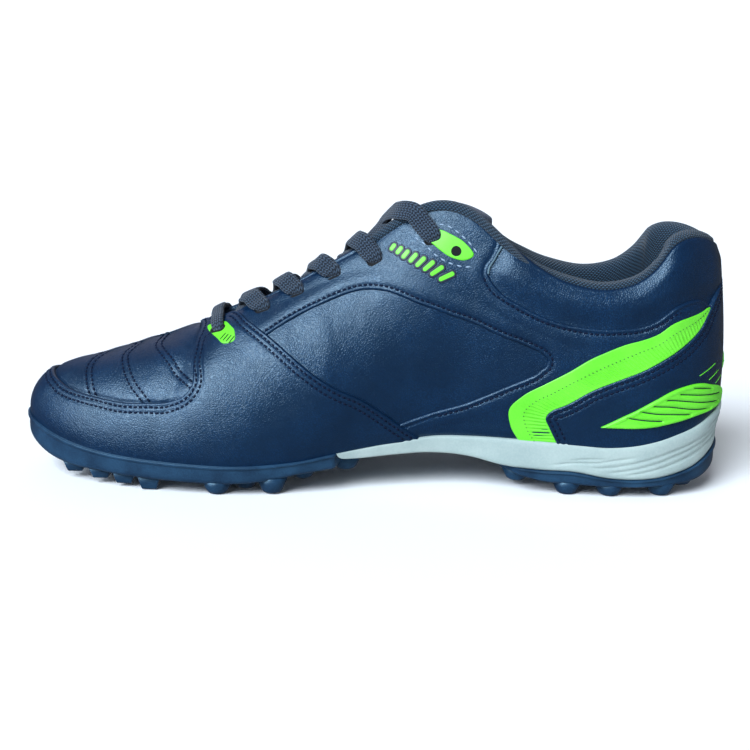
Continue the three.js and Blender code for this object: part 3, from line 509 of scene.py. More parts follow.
def measured(grid, row, column):
    """UVs in millimetres: how far along one row of a grid and along one column a corner is."""
    return np.stack(np.broadcast_arrays(lengths(grid[:, row])[:, None], lengths(grid[column])[None]), -1)


def strip_places(low, high, shares):
    """Places (along, up) of a strip, a column for each pair of edge places."""
    grid = low[:, None, :] + (high - low)[:, None, :] * shares[None, :, None]
    return grid[..., 0], grid[..., 1]


UNDERSIDE = np.array([1.0, 0.66, 0.33, 0.0])  # shares of a strip's width for its underside


def panel(name, rows, columns, across, lift, material, nodes=(), join=None, under=-0.25,
          ridge=None):
    """A panel of leather or film over the wall, from a strip, on both sides. lift gives its height at
    places of the last; join says whether the strip's start or end meets the other side's; ridge says
    where its high edge does."""
    low, high = strip_lines(rows, columns)
    low[:, 1] = np.minimum(low[:, 1], 1)
    high[:, 1] = np.minimum(high[:, 1], 1)
    shares = cosine_shares(across)
    grids, marks = [], []
    for side in (INNER, OUTER):
        along, up = strip_places(low, high, shares)
        base = last(along, side, up)
        normal = last_normal(along, side, up)
        top = base + normal * lift(side, base, low, high)[..., None]
        along, up = strip_places(low, high, UNDERSIDE)
        bottom = skin(along, side, up, np.full(along.shape, under))
        grids.append(np.concatenate([top, bottom, top[:, :1]], 1))
        mark = np.zeros(grids[-1].shape[:2], bool)
        if ridge is not None:
            mark[ridge(high), across - 1:across + 1] = True
        marks.append(mark)
    if join is not None:
        ahead, back = slice(None), slice(None, None, -1)
        first, second = (back, ahead) if join == "start" else (ahead, back)
        grids = [np.concatenate([grids[0][first], grids[1][second][1:]])]
        marks = [np.concatenate([marks[0][first], marks[1][second][1:]])]
    for k, (grid, mark) in enumerate(zip(grids, marks)):
        whole = len(grids) == 1
        label = name if whole else f"{name}_{('inner', 'outer')[k]}"
        build(label, grid, material, nodes if whole else nodes[k:k + 1],
              mark if mark.any() else None, measured(grid, 0, len(grid) // 2))


# Small pieces that repeat: rounded grains laid along lines, joined to one mesh

def grains(name, spots, material, segments=6, rings=4):
    """One mesh of rounded bars. A spot is its centre, the directions ahead and outwards, half its
    length, half its width and half its height."""
    bm = bmesh.new()
    bmesh.ops.create_uvsphere(bm, u_segments=segments, v_segments=rings, radius=1.0)
    ball = bpy.data.meshes.new(name)
    bm.to_mesh(ball)
    base = np.empty(3 * len(ball.vertices))
    ball.vertices.foreach_get("co", base)
    base = base.reshape(-1, 3)
    faces = [list(face.vertices) for face in ball.polygons]
    bm.clear()
    centre, ahead, normal = (np.array([spot[k] for spot in spots]) for k in range(3))
    half, width, tall = (np.array([spot[k] for spot in spots])[:, None, None] for k in range(3, 6))
    across = np.cross(normal, ahead)
    straight = np.maximum(half - width, 0)
    z = base[None, :, 2:3]
    reach = z * np.minimum(width, half) + np.sign(np.round(z, 3)) * straight
    shape = (centre[:, None] + ahead[:, None] * reach
             + across[:, None] * base[None, :, 0:1] * width + normal[:, None] * base[None, :, 1:2] * tall)
    count = len(base)
    mesh = bpy.data.meshes.new(name)
    every = [[v + k * count for v in face] for k in range(len(spots)) for face in faces]
    mesh.from_pydata((shape.reshape(-1, 3) * MM).tolist(), [], every)
    mesh.polygons.foreach_set("use_smooth", [True] * len(mesh.polygons))
    return finished(name, mesh, material)


def laid_along(places, normals, pitch, half, width, tall, sink=0.0, start=0.5):
    """Spots for grains at an even pitch along a line of places."""
    run = lengths(places)
    count = int(run[-1] / pitch)
    if count < 1:
        return []
    at = (np.arange(count) + start) * run[-1] / count

    def pick(rows):
        return np.stack([np.interp(at, run, rows[:, k]) for k in range(3)], -1)
    normal = unit(pick(normals))
    ahead = unit(pick(np.gradient(places, axis=0)))
    ahead = unit(ahead - normal * np.sum(ahead * normal, -1, keepdims=True))
    centre = pick(places) - normal * sink
    return [(centre[k], ahead[k], normal[k], half, width, tall) for k in range(count)]


def seam(line, side, offset, distances):
    """Stitches in rows beside a line (along, up) of the wall, at a height over it."""
    width = STITCH_WIDTH / 2
    spots = []
    for distance in distances:
        row = shifted(line, side, np.full(len(line), distance))
        row = row[(row[:, 1] < 1.0) & (row[:, 1] > 0.0) & (row[:, 0] < 1.0) & (row[:, 0] > 0.0)]
        if len(row) < 4:
            continue
        places = on_wall(row, side, offset)
        normals = last_normal(row[:, 0], side, row[:, 1])
        spots += laid_along(places, normals, STITCH_PITCH, STITCH_LENGTH / 2, width, width * 0.8)
    return spots


# Materials

def linear(code):
    """An sRGB hex colour as linear numbers."""
    parts = [int(code[k:k + 2], 16) / 255 for k in (1, 3, 5)]
    return [v / 12.92 if v <= 0.04045 else ((v + 0.055) / 1.055) ** 2.4 for v in parts] + [1.0]


def add(tree, kind, inputs=None, **settings):
    """Adds a node with its settings, and its inputs as numbers or links. Returns it."""
    node = tree.nodes.new(kind)
    for name, value in settings.items():
        setattr(node, name, value)
    for name, value in (inputs or {}).items():
        if isinstance(value, bpy.types.NodeSocket):
            tree.links.new(value, node.inputs[name])
        else:
            node.inputs[name].default_value = value
    return node


def started(name, **sockets):
    """A material with its shader, whose even numbers are set on the shader itself."""
    material = bpy.data.materials.new(name)
    material.use_nodes = True
    tree = material.node_tree
    shader = tree.nodes["Principled BSDF"]
    for key, value in sockets.items():
        shader.inputs[key.replace("_", " ")].default_value = value
    return material, tree, shader


def coated_leather(name, colour, light, roughness=0.38, grain=0.9):
    """Split leather with a rolled polyurethane coat: fine pebbles with short wrinkles, a soft sheen
    that breaks up in the highlights, and a slightly lighter, bluer tone where the coat is thin."""
    material, tree, shader = started(name, Roughness=roughness, IOR=1.5, Specular_Tint=linear("#93d8ff"),
                                     Coat_Weight=0.45, Coat_Roughness=0.28)
    place = add(tree, "ShaderNodeTexCoord").outputs["Object"]
    pebbles = add(tree, "ShaderNodeTexVoronoi", {"Vector": place, "Scale": 1000 / grain, "Randomness": 1.0},
                  feature="DISTANCE_TO_EDGE")
    wrinkles = add(tree, "ShaderNodeTexNoise", {"Vector": place, "Scale": 1000 / (2.2 * grain), "Detail": 3.0,
                                                "Roughness": 0.65, "Distortion": 1.4})
    swells = add(tree, "ShaderNodeTexNoise", {"Vector": place, "Scale": 1000 / 16.0, "Detail": 2.0})
    valleys = add(tree, "ShaderNodeMapRange", {0: pebbles.outputs["Distance"], 1: 0.0, 2: 0.28, 3: 0.0,
                                               4: 1.0}, interpolation_type="SMOOTHSTEP")
    height = add(tree, "ShaderNodeMath", {0: valleys.outputs[0], 1: 0.45, 2: wrinkles.outputs["Fac"]},
                 operation="MULTIPLY_ADD")
    fine = add(tree, "ShaderNodeBump", {"Strength": 0.5, "Distance": 0.00023, "Height": height.outputs[0]})
    broad = add(tree, "ShaderNodeBump", {"Strength": 0.35, "Distance": 0.0012,
                                         "Height": swells.outputs["Fac"], "Normal": fine.outputs[0]})
    tree.links.new(broad.outputs[0], shader.inputs["Normal"])
    tree.links.new(broad.outputs[0], shader.inputs["Coat Normal"])
    share = add(tree, "ShaderNodeMapRange", {0: swells.outputs["Fac"], 1: 0.3, 2: 0.7, 3: 0.0, 4: 0.55})
    tone = add(tree, "ShaderNodeMix", {0: share.outputs[0], 6: linear(colour), 7: linear(light)},
               data_type="RGBA")
    dark = add(tree, "ShaderNodeMix", {0: valleys.outputs[0], 6: linear(colour), 7: tone.outputs[2]},
               data_type="RGBA")
    tree.links.new(dark.outputs[2], shader.inputs["Base Color"])
    rough = add(tree, "ShaderNodeMapRange", {0: wrinkles.outputs["Fac"], 1: 0.3, 2: 0.7,
                                             3: roughness - 0.05, 4: roughness + 0.1})
    tree.links.new(rough.outputs[0], shader.inputs["Roughness"])
    return material


def moulded(name, colour, light, roughness, speck, bump, **sockets):
    """A moulded surface: rubber, foam or film with a fine spark-eroded texture of its own scale."""
    material, tree, shader = started(name, Roughness=roughness, **sockets)
    place = add(tree, "ShaderNodeTexCoord").outputs["Object"]
    texture = add(tree, "ShaderNodeTexNoise", {"Vector": place, "Scale": 1000 / speck, "Detail": 3.0,
                                               "Roughness": 0.6})
    cloud = add(tree, "ShaderNodeTexNoise", {"Vector": place, "Scale": 1000 / 14.0, "Detail": 3.0})
    relief = add(tree, "ShaderNodeBump", {"Strength": bump, "Distance": 0.0002,
                                          "Height": texture.outputs["Fac"]})
    tree.links.new(relief.outputs[0], shader.inputs["Normal"])
    share = add(tree, "ShaderNodeMath", {0: texture.outputs["Fac"], 1: 0.5, 2: cloud.outputs["Fac"]},
                operation="MULTIPLY_ADD")
    spread = add(tree, "ShaderNodeMapRange", {0: share.outputs[0], 1: 0.55, 2: 0.95, 3: 0.0, 4: 1.0})
    tone = add(tree, "ShaderNodeMix", {0: spread.outputs[0], 6: linear(colour), 7: linear(light)},
               data_type="RGBA")
    tree.links.new(tone.outputs[2], shader.inputs["Base Color"])
    return material


def woven(name, colour, light, across, pitch, lean, bump, step=0.0):
    """A braid or knit that follows the piece: columns of threads that lean to and fro and start a step
    further on in each column, light on the threads and dark between them. Sizes are millimetres of
    the piece's UV map."""
    material, tree, shader = started(name, Roughness=0.85, Specular_IOR_Level=0.25, Sheen_Weight=0.15,
                                     Sheen_Roughness=0.5)
    uv = add(tree, "ShaderNodeSeparateXYZ", {0: add(tree, "ShaderNodeUVMap").outputs[0]})
    fold = add(tree, "ShaderNodeMath", {0: uv.outputs[1], 1: across}, operation="PINGPONG")
    columns = add(tree, "ShaderNodeMath", {0: uv.outputs[1], 1: across}, operation="DIVIDE")
    number = add(tree, "ShaderNodeMath", {0: columns.outputs[0]}, operation="FLOOR")
    moved_on = add(tree, "ShaderNodeMath", {0: number.outputs[0], 1: step, 2: uv.outputs[0]},
                   operation="MULTIPLY_ADD")
    leaning = add(tree, "ShaderNodeMath", {0: fold.outputs[0], 1: lean, 2: moved_on.outputs[0]},
                  operation="MULTIPLY_ADD")
    turn = add(tree, "ShaderNodeMath", {0: leaning.outputs[0], 1: 2 * math.pi / pitch}, operation="MULTIPLY")
    wave = add(tree, "ShaderNodeMath", {0: turn.outputs[0]}, operation="SINE")
    threads = add(tree, "ShaderNodeMath", {0: wave.outputs[0], 1: 0.5, 2: 0.5}, operation="MULTIPLY_ADD")
    crowns = add(tree, "ShaderNodeMath", {0: threads.outputs[0], 1: 0.7}, operation="POWER")
    half_turn = add(tree, "ShaderNodeMath", {0: fold.outputs[0], 1: math.pi / across}, operation="MULTIPLY")
    column = add(tree, "ShaderNodeMath", {0: half_turn.outputs[0]}, operation="SINE")
    product = add(tree, "ShaderNodeMath", {0: crowns.outputs[0], 1: column.outputs[0]}, operation="MULTIPLY")
    height = product.outputs[0]
    relief = add(tree, "ShaderNodeBump", {"Strength": bump, "Distance": 0.0005, "Height": height})
    tree.links.new(relief.outputs[0], shader.inputs["Normal"])
    tone = add(tree, "ShaderNodeMix", {0: height, 6: linear(colour), 7: linear(light)}, data_type="RGBA")
    tree.links.new(tone.outputs[2], shader.inputs["Base Color"])
    return material


def plain(name, colour, roughness, **sockets):
    """A small piece's finish, with a faint mottle so that it isn't even."""
    material, tree, shader = started(name, Roughness=roughness, **sockets)
    place = add(tree, "ShaderNodeTexCoord").outputs["Object"]
    fleck = add(tree, "ShaderNodeTexNoise", {"Vector": place, "Scale": 1000 / 0.8, "Detail": 2.0})
    deep = [v * 0.72 for v in linear(colour)[:3]] + [1.0]
    tone = add(tree, "ShaderNodeMix", {0: fleck.outputs["Fac"], 6: deep, 7: linear(colour)},
               data_type="RGBA")
    tree.links.new(tone.outputs[2], shader.inputs["Base Color"])
    return material


NAVY = "#031a35"
NAVY_LIGHT = "#072f56"
leather = coated_leather("coated_leather", NAVY, NAVY_LIGHT)
rubber = moulded("moulded_rubber", "#11263e", "#203f5b", 0.38, 0.7, 0.35, IOR=1.52,
                 Specular_Tint=linear("#c2ecff"))
foam = moulded("moulded_eva_foam", "#8fa09f", "#a0afac", 0.55, 0.9, 0.2, IOR=1.48)
lime = moulded("moulded_tpu_lime", "#59c81f", "#69d730", 0.42, 0.6, 0.08, IOR=1.5)
thread = plain("bonded_polyester_thread", "#071630", 0.7, Specular_IOR_Level=0.15)
pale_thread = plain("bonded_polyester_thread_pale", "#8fa5bd", 0.55)
# Pale strips along the eyestay's edge by the throat: a painted highlight where the rolled edge catches the
# light
painted_edge_glint = plain("painted_edge_highlight", "#54707f", 0.6)
dark_film = plain("printed_film_navy", "#0c1c38", 0.5)
# Near-black: painted shade inside the eyelet and perforation openings, and also the ink of the first patch's
# printed marks
shade = plain("painted_hole_shade_and_print", "#04070d", 0.9)
lace_cloth = woven("woven_polyester_lace", "#070c16", "#43586f", 1.05, 1.3, 0.8, 0.9)
mesh_cloth = woven("knitted_spacer_mesh", "#050c16", "#35556f", 0.8, 1.6, 0.0, 1.0, 0.8)
tongue_cloth = woven("woven_tongue_cloth", "#14213a", "#2e4668", 0.6, 0.9, 0.5, 0.5)


# The upper, one lasted sheet from heel to toe and back, with a rolled top edge

def inside(along, up, outline):
    """Whether places (along, up) lie inside an outline of such places."""
    outline = np.asarray(outline, float)
    within = np.zeros(np.broadcast(along, up).shape, bool)
    for (a, b), (c, d) in zip(outline, np.roll(outline, -1, 0)):
        crosses = (b > up) != (d > up)
        within ^= crosses & (along < (c - a) * (up - b) / (d - b + 1e-12) + a)
    return within


COLLAR_SEAM = spline([(0.348, 0.955), (0.355, 0.875), (0.361, 0.765), (0.356, 0.735), (0.345, 0.735),
                      (0.32, 0.745), (0.292, 0.756), (0.267, 0.763), (0.24, 0.762), (0.212, 0.764),
                      (0.176, 0.746), (0.14, 0.716), (0.11, 0.696), (0.065, 0.7), (0.0, 0.73)], 160)
COLLAR_PANEL = np.concatenate([COLLAR_SEAM, [(0.0, 1.01), (0.348, 1.01)]])
COLLAR_CORNER = 0.775  # how far up the seam turns into the eyestay's cut edge
COLLAR_PUFF = 1.6
TOE_PUFF = 0.3
TOE_GROOVE_DEPTH = 0.55
CREASE_HALF = 8.0
CHANNEL_DEPTH = 0.2
CHANNEL_SWELL = 0.12
TOE_GROOVE = spline([(1.0, 0.655), (0.976, 0.608), (0.948, 0.53), (0.922, 0.468), (0.902, 0.445),
                     (0.884, 0.43), (0.86, 0.41), (0.821, 0.375), (0.79, 0.367), (0.757, 0.375),
                     (0.739, 0.42), (0.734, 0.465), (0.745, 0.6), (0.756, 0.76),
                     (0.769, 0.932), (0.78, 1.0)], 200)
CHANNEL_LINES = [spline(points, 90) for points in CHANNELS]
CREASES = [  # places of soft troughs pressed by walking, and how deep they are
    ([(0.607, 0.72), (0.59, 0.52), (0.585, 0.32), (0.575, 0.2)], 0.16),
    ([(0.555, 0.7), (0.54, 0.52), (0.54, 0.34)], 0.12),
    ([(0.49, 0.56), (0.47, 0.42), (0.475, 0.25)], 0.14),
    ([(0.405, 0.46), (0.385, 0.34), (0.4, 0.2)], 0.14),
    ([(0.83, 0.98), (0.808, 0.86), (0.782, 0.74)], 0.22),
    ([(0.30, 0.93), (0.27, 0.86), (0.235, 0.84)], 0.25),
]


def climb_at(along, side):
    """Straight up along the wall at its top edge."""
    return unit(last(along, side, np.ones_like(along)) - last(along, side, np.full_like(along, 1 - STEP)))


def leather_height(side, along, up, base):
    """How far the base leather stands over the last: padded collar, sewn toe panel and soft creases."""
    from_seam = away_from(COLLAR_SEAM, side, base)
    to_top = (1 - up) * 80
    in_collar = inside(along, up, COLLAR_PANEL)
    height = in_collar * COLLAR_PUFF * smooth(0, 9, from_seam) * smooth(-2, 7, to_top)
    from_groove = away_from(TOE_GROOVE, side, base)
    in_toe = (along > 0.73) & inside(along, up, np.concatenate([TOE_GROOVE, [(1.0, 1.01)]]))
    height = height + in_toe * TOE_PUFF * smooth(0, 4, from_groove)
    height = height - TOE_GROOVE_DEPTH * trough(from_groove, 1.5)
    for points, depth in CREASES:
        away = away_from(spline(points, 40), side, base)
        beside = np.abs(away - CREASE_HALF - 1)
        height = height - depth * trough(away, CREASE_HALF) + 0.5 * depth * trough(beside, 5.0)
    for line in CHANNEL_LINES:
        away = away_from(line, side, base)
        height = height - 2 * CHANNEL_DEPTH * trough(np.abs(away - CHANNEL_HALF), 0.9)
        height = height + CHANNEL_SWELL * (trough(away, 1.0) + trough(np.abs(away - 6.5), 6.0))
    return height


def build_upper():
    alongs = np.linspace(0, 1, 281)
    ups = np.linspace(0, 1, 122)
    inner_ups = np.linspace(1, 0, 14)
    turns = np.linspace(0, math.pi, 6)[1:-1]
    grids, marks = [], []
    for side in (INNER, OUTER):
        along, up = np.meshgrid(alongs, ups, indexing="ij")
        base = last(along, side, up)
        face = base + last_normal(along, side, up) * leather_height(side, along, up, base)[..., None]
        edge = last(alongs, side, np.ones_like(alongs))
        normal = last_normal(alongs, side, np.ones_like(alongs))
        climb = climb_at(alongs, side)
        radius = UPPER_WALL / 2
        roll = [edge + normal * (radius * (math.cos(t) - 1)) + climb * radius * math.sin(t) for t in turns]
        along, up = np.meshgrid(alongs, inner_ups, indexing="ij")
        back = skin(along, side, up, np.full(along.shape, -UPPER_WALL))
        grid = np.concatenate([face, np.stack(roll, 1), back, face[:, :1]], 1)
        mark = np.zeros(grid.shape[:2], bool)
        mark[alongs >= THROAT_END, len(ups) - 1:len(ups) + len(turns) + 1] = True
        grids.append(grid)
        marks.append(mark)
    grid = np.concatenate([grids[0], grids[1][::-1][1:]])
    mark = np.concatenate([marks[0], marks[1][::-1][1:]])
    return build("upper", grid, leather, ["upper"], mark)


build_upper()


# Panels over the upper, each with a rolled edge and troughs for its rows of stitches

EDGE_RADIUS = 1.1
STITCH_TROUGH = 0.28


def stitched(distance, rows):
    """How deep the leather is pulled in by rows of stitches at distances from an edge."""
    return STITCH_TROUGH * sum(trough(np.abs(distance - row), 1.1) for row in rows)


SINGLE = [SEAM_DISTANCE]
DOUBLE = [SEAM_DISTANCE, SEAM_DISTANCE + SEAM_SPACING]
VAMP_END = 0.713  # where along the rim the guard's edge reaches the ridge
VAMP_EDGE_LIFT = 1.9
QUARTER_SWELL = 0.25


def on_ridge(line, from_up=0.999):
    """Which places of a line (along, up) lie on the toe's ridge, where the two sides join."""
    return (line[:, 1] > from_up) & (line[:, 0] >= THROAT_END)


def guard_lift(side, base, low, high):
    edge = away_from(high[~on_ridge(high, 0.995)], side, base)
    vamp = away_from(high[high[:, 0] < VAMP_END], side, base)
    lift = mix(VAMP_EDGE_LIFT, GUARD_LIFT, smooth(4, 13, vamp))
    return lift * rounded(edge, EDGE_RADIUS) - stitched(edge, DOUBLE)


def quarter_lift(side, base, low, high):
    edge = np.minimum(away_from(low, side, base), away_from(high, side, base))
    swell = QUARTER_SWELL * trough(np.abs(edge - 5), 4)
    return QUARTER_LIFT * rounded(edge, EDGE_RADIUS) + swell - stitched(edge, SINGLE)


def counter_lift(side, base, low, high):
    edge = away_from(high, side, base)
    return COUNTER_LIFT * rounded(edge, EDGE_RADIUS) - stitched(edge, DOUBLE)


BAND_RIB = 1.7  # pitch of the ribs
BAND_SPLIT = 0.58  # share of the band's width that is ribbed, from the counter's side
RIB_DEPTH = 0.3


def band_lift(side, base, low, high):
    to_counter, to_front = away_from(low, side, base), away_from(high, side, base)
    edge = np.minimum(to_counter, to_front)
    run = lengths(on_wall((low + high) / 2, side))[:, None]
    rib = 0.5 + 0.5 * np.cos(2 * math.pi * run / BAND_RIB)
    share = to_counter / np.maximum(to_counter + to_front, STEP)
    ribbed = smooth(BAND_SPLIT + 0.02, BAND_SPLIT - 0.06, share) * smooth(0.4, 1.6, edge)
    return QUARTER_LIFT + BAND_LIFT * rounded(edge, 0.6) - RIB_DEPTH * rib * ribbed


# The slots between the bars of the insert
INSERT_SLOTS = [spline(points, 40) for points in (
    [(0.11, 0.29), (0.095, 0.272), (0.079, 0.253)], [(0.128, 0.275), (0.099, 0.242), (0.05, 0.187)],
    [(0.145, 0.265), (0.113, 0.223), (0.058, 0.155)], [(0.161, 0.255), (0.117, 0.19), (0.078, 0.148)],
    [(0.176, 0.235), (0.143, 0.187), (0.112, 0.156)], [(0.191, 0.2), (0.17, 0.178), (0.15, 0.158)],
)]
SLOT_DEPTH = 0.65
INSERT_DISH = 0.25  # how much lower the insert's face is than its rim
PAD_LIFT = 0.9


def insert_lift(side, base, low, high):
    edge = np.minimum(away_from(low, side, base), away_from(high, side, base))
    slots = sum(trough(away_from(line, side, base), 0.95) for line in INSERT_SLOTS)
    sunk = INSERT_DISH * smooth(1.3, 1.9, edge) + SLOT_DEPTH * slots
    return COUNTER_LIFT + INSERT_LIFT * rounded(edge, 0.9) - sunk


def pad_lift(side, base, low, high):
    edge = np.minimum(away_from(low, side, base), away_from(high, side, base))
    return COUNTER_LIFT + PAD_LIFT * rounded(edge, 1.2)


panel("toe_guard", GUARD, 420, 60, guard_lift, leather, ["toe_guard"], "end",
      ridge=on_ridge)
panel("eyestay", QUARTER, 420, 56, quarter_lift, leather, ["eyestay_inner", "eyestay_outer"])
panel("heel_counter", COUNTER, 200, 60, counter_lift, leather, ["heel_counter"], "start")
panel("side_band", BAND, 460, 24, band_lift, lime,
      ["side_band_inner", "side_band_outer"], under=0.6)
panel("heel_insert", INSERT, 280, 50, insert_lift, lime,
      ["heel_insert_inner", "heel_insert_outer"], under=1.3)
panel("heel_pad", HEEL_PAD, 60, 20, pad_lift, lime, join="start", under=1.3)

# The rows of stitches, one mesh for each seam
vamp_edge = strip_lines(GUARD, 420)[1]
vamp_edge = vamp_edge[vamp_edge[:, 0] < 0.71]
vamp_edge = vamp_edge[np.cumsum(vamp_edge[:, 1] > 0.985) == 0]  # up to the ridge
window_edge = strip_lines(QUARTER, 420)[0]
window_edge = window_edge[window_edge[:, 1] > 0.1]
counter_edge = strip_lines(COUNTER, 260)[1]
collar_edge = COLLAR_SEAM[COLLAR_SEAM[:, 1] < COLLAR_CORNER]
SEAMS = {  # each seam's lines, the height of its thread over the last, its rows from the line
    "vamp": ([vamp_edge], 1.62, DOUBLE),
    "toe": ([TOE_GROOVE[::-1]], 1.1, DOUBLE),
    "channel": (CHANNEL_LINES, 0.08, [-CHANNEL_HALF, CHANNEL_HALF]),
    "window": ([window_edge], 0.75, SINGLE),
    "collar": ([collar_edge], 0.75, [-SEAM_DISTANCE]),
    "counter": ([counter_edge], 1.45, DOUBLE),
}
for name, (lines, height, rows) in SEAMS.items():
    spots = [spot for side in (INNER, OUTER) for line in lines for spot in seam(line, side, height, rows)]
    grains(f"stitches_{name}", spots, thread)


# Small film patches and slots on the leather, with dark discs and dots of painted shade at the eyelet and
# perforation openings

def moved(centre, side, ahead, climb):
    """Places (along, up) at distances in millimetres ahead of and above a place of the wall."""
    along, up = np.full(len(ahead), centre[0]), np.full(len(ahead), centre[1])
    slopes = wall_slopes(along, side, up)
    onward = unit(slopes[0])
    upward = np.cross(onward, last_normal(along, side, up)) * side
    return stepped(along, up, slopes, onward * ahead[:, None] + upward * climb[:, None])


def lozenge(centre, side, length, width, turn, count=24):
    """The outline of a slot with round ends, turned from straight ahead by an angle."""
    t = np.linspace(0, 2 * math.pi, count, endpoint=False)
    x = np.cos(t) * width / 2 + np.sign(np.cos(t)) * (length - width) / 2
    y = np.sin(t) * width / 2
    return moved(centre, side, x * math.cos(turn) - y * math.sin(turn),
                 x * math.sin(turn) + y * math.cos(turn))


def round_outline(points, count=72):
    """A smooth closed outline through places (along, up)."""
    points = np.asarray(points, float)
    wrapped = np.concatenate([points[-3:], points, points[:3]])
    stops = lengths(wrapped * WALL_SIZE)
    return curved(stops, wrapped, np.linspace(stops[3], stops[-3], count + 1)[:-1])


FILM_SUNK = 0.5  # how far a patch reaches into the leather


def film_grid(outline, side, base, tall, edge=0.35):
    """The grid of a thin patch with rounded edges: columns round it, rows from its middle out."""
    middle = outline.mean(0)
    size = np.linalg.norm((outline - middle) * WALL_SIZE, axis=1)
    shares = np.concatenate([np.linspace(0, 0.8, 6), 1 - np.array([0.12, 0.06, 0.02, 0.0])])
    ring = np.concatenate([outline, outline[:1]])
    size = np.concatenate([size, size[:1]])
    grid = middle + (ring - middle)[:, None] * shares[None, :, None]
    from_edge = size[:, None] * (1 - shares[None])
    top = skin(grid[..., 0], side, grid[..., 1], base + tall * rounded(from_edge, edge))
    foot = on_wall(ring, side, base - FILM_SUNK)
    centre = on_wall(np.broadcast_to(middle, ring.shape), side, base - FILM_SUNK)
    return np.concatenate([top, foot[:, None], centre[:, None]], 1)


def films(name, grids, material):
    """Several patches as one mesh."""
    bm = bmesh.new()
    for grid in grids:
        part = build(name, grid, material, close=False)
        bm.from_mesh(part.data)
        bpy.data.objects.remove(part)
    mesh = bpy.data.meshes.new(name)
    bm.to_mesh(mesh)
    bm.free()
    return finished(name, mesh, material)


SLOTS = [(0.485, 0.873), (0.477, 0.84), (0.469, 0.807), (0.459, 0.775), (0.449, 0.745), (0.438, 0.718),
         (0.427, 0.693), (0.414, 0.67)]
TOP_PATCH = [(0.449, 0.865), (0.426, 0.875), (0.408, 0.855), (0.39, 0.838), (0.38, 0.815),
             (0.393, 0.758), (0.408, 0.753), (0.424, 0.782), (0.432, 0.807)]
FIRST_PATCH = [(0.745, 0.897), (0.724, 0.925), (0.691, 0.772), (0.689, 0.715), (0.703, 0.713),
               (0.719, 0.768)]
PERFORATIONS = [(0.897, 0.713), (0.88, 0.743), (0.866, 0.657), (0.887, 0.812)]
SPEED_LINES = [((0.101, 0.343), (0.071, 0.372)), ((0.083, 0.302), (0.06, 0.325)),
               ((0.065, 0.263), (0.045, 0.28))]
SLOT_LENGTHS = (3.6, 7.0)  # of the first and the last
SLOT_TURNS = (24, 32)  # degrees over level, towards the heel
SLOT_WIDTH = 1.9
EYELET_RADIUS = 2.1
FILM_HEIGHT = 0.42
ON_FILM = 0.44  # just clear of a patch's face
MARK_PLACE = (0.7, 0.765)  # the first patch's four short marks are measured from here
MARK_TURN = math.radians(138)
PATCH_STITCHES = 2.6  # from the top patch's edge to the stitches round it
INSERT_FLOOR = COUNTER_LIFT + INSERT_LIFT - INSERT_DISH - SLOT_DEPTH


def bar(centre, side, offset, ahead, climb, turn, half, width, tall):
    """A spot for one straight bar at distances ahead of and above a place, turned from straight ahead."""
    reach = np.array([-half, half])
    line = moved(centre, side, ahead + reach * math.cos(turn), climb + reach * math.sin(turn))
    ends = on_wall(line, side, offset)
    _, normal = point(centre[0], side, centre[1])
    direction = unit(ends[1] - ends[0])
    return ends.mean(0), direction, unit(normal - direction * (normal @ direction)), half, width, tall


def along_line(line, side, offset, pitch, half, width, tall):
    """Spots at an even pitch along a line (along, up), at a height over the last."""
    normals = last_normal(line[:, 0], side, line[:, 1])
    return laid_along(on_wall(line, side, offset), normals, pitch, half, width, tall)


def chain(line, side, offset, width, tall):
    """Spots so close together along a line (along, up) that they make one thin strip."""
    return along_line(line, side, offset, 0.6, 0.7, width, tall)


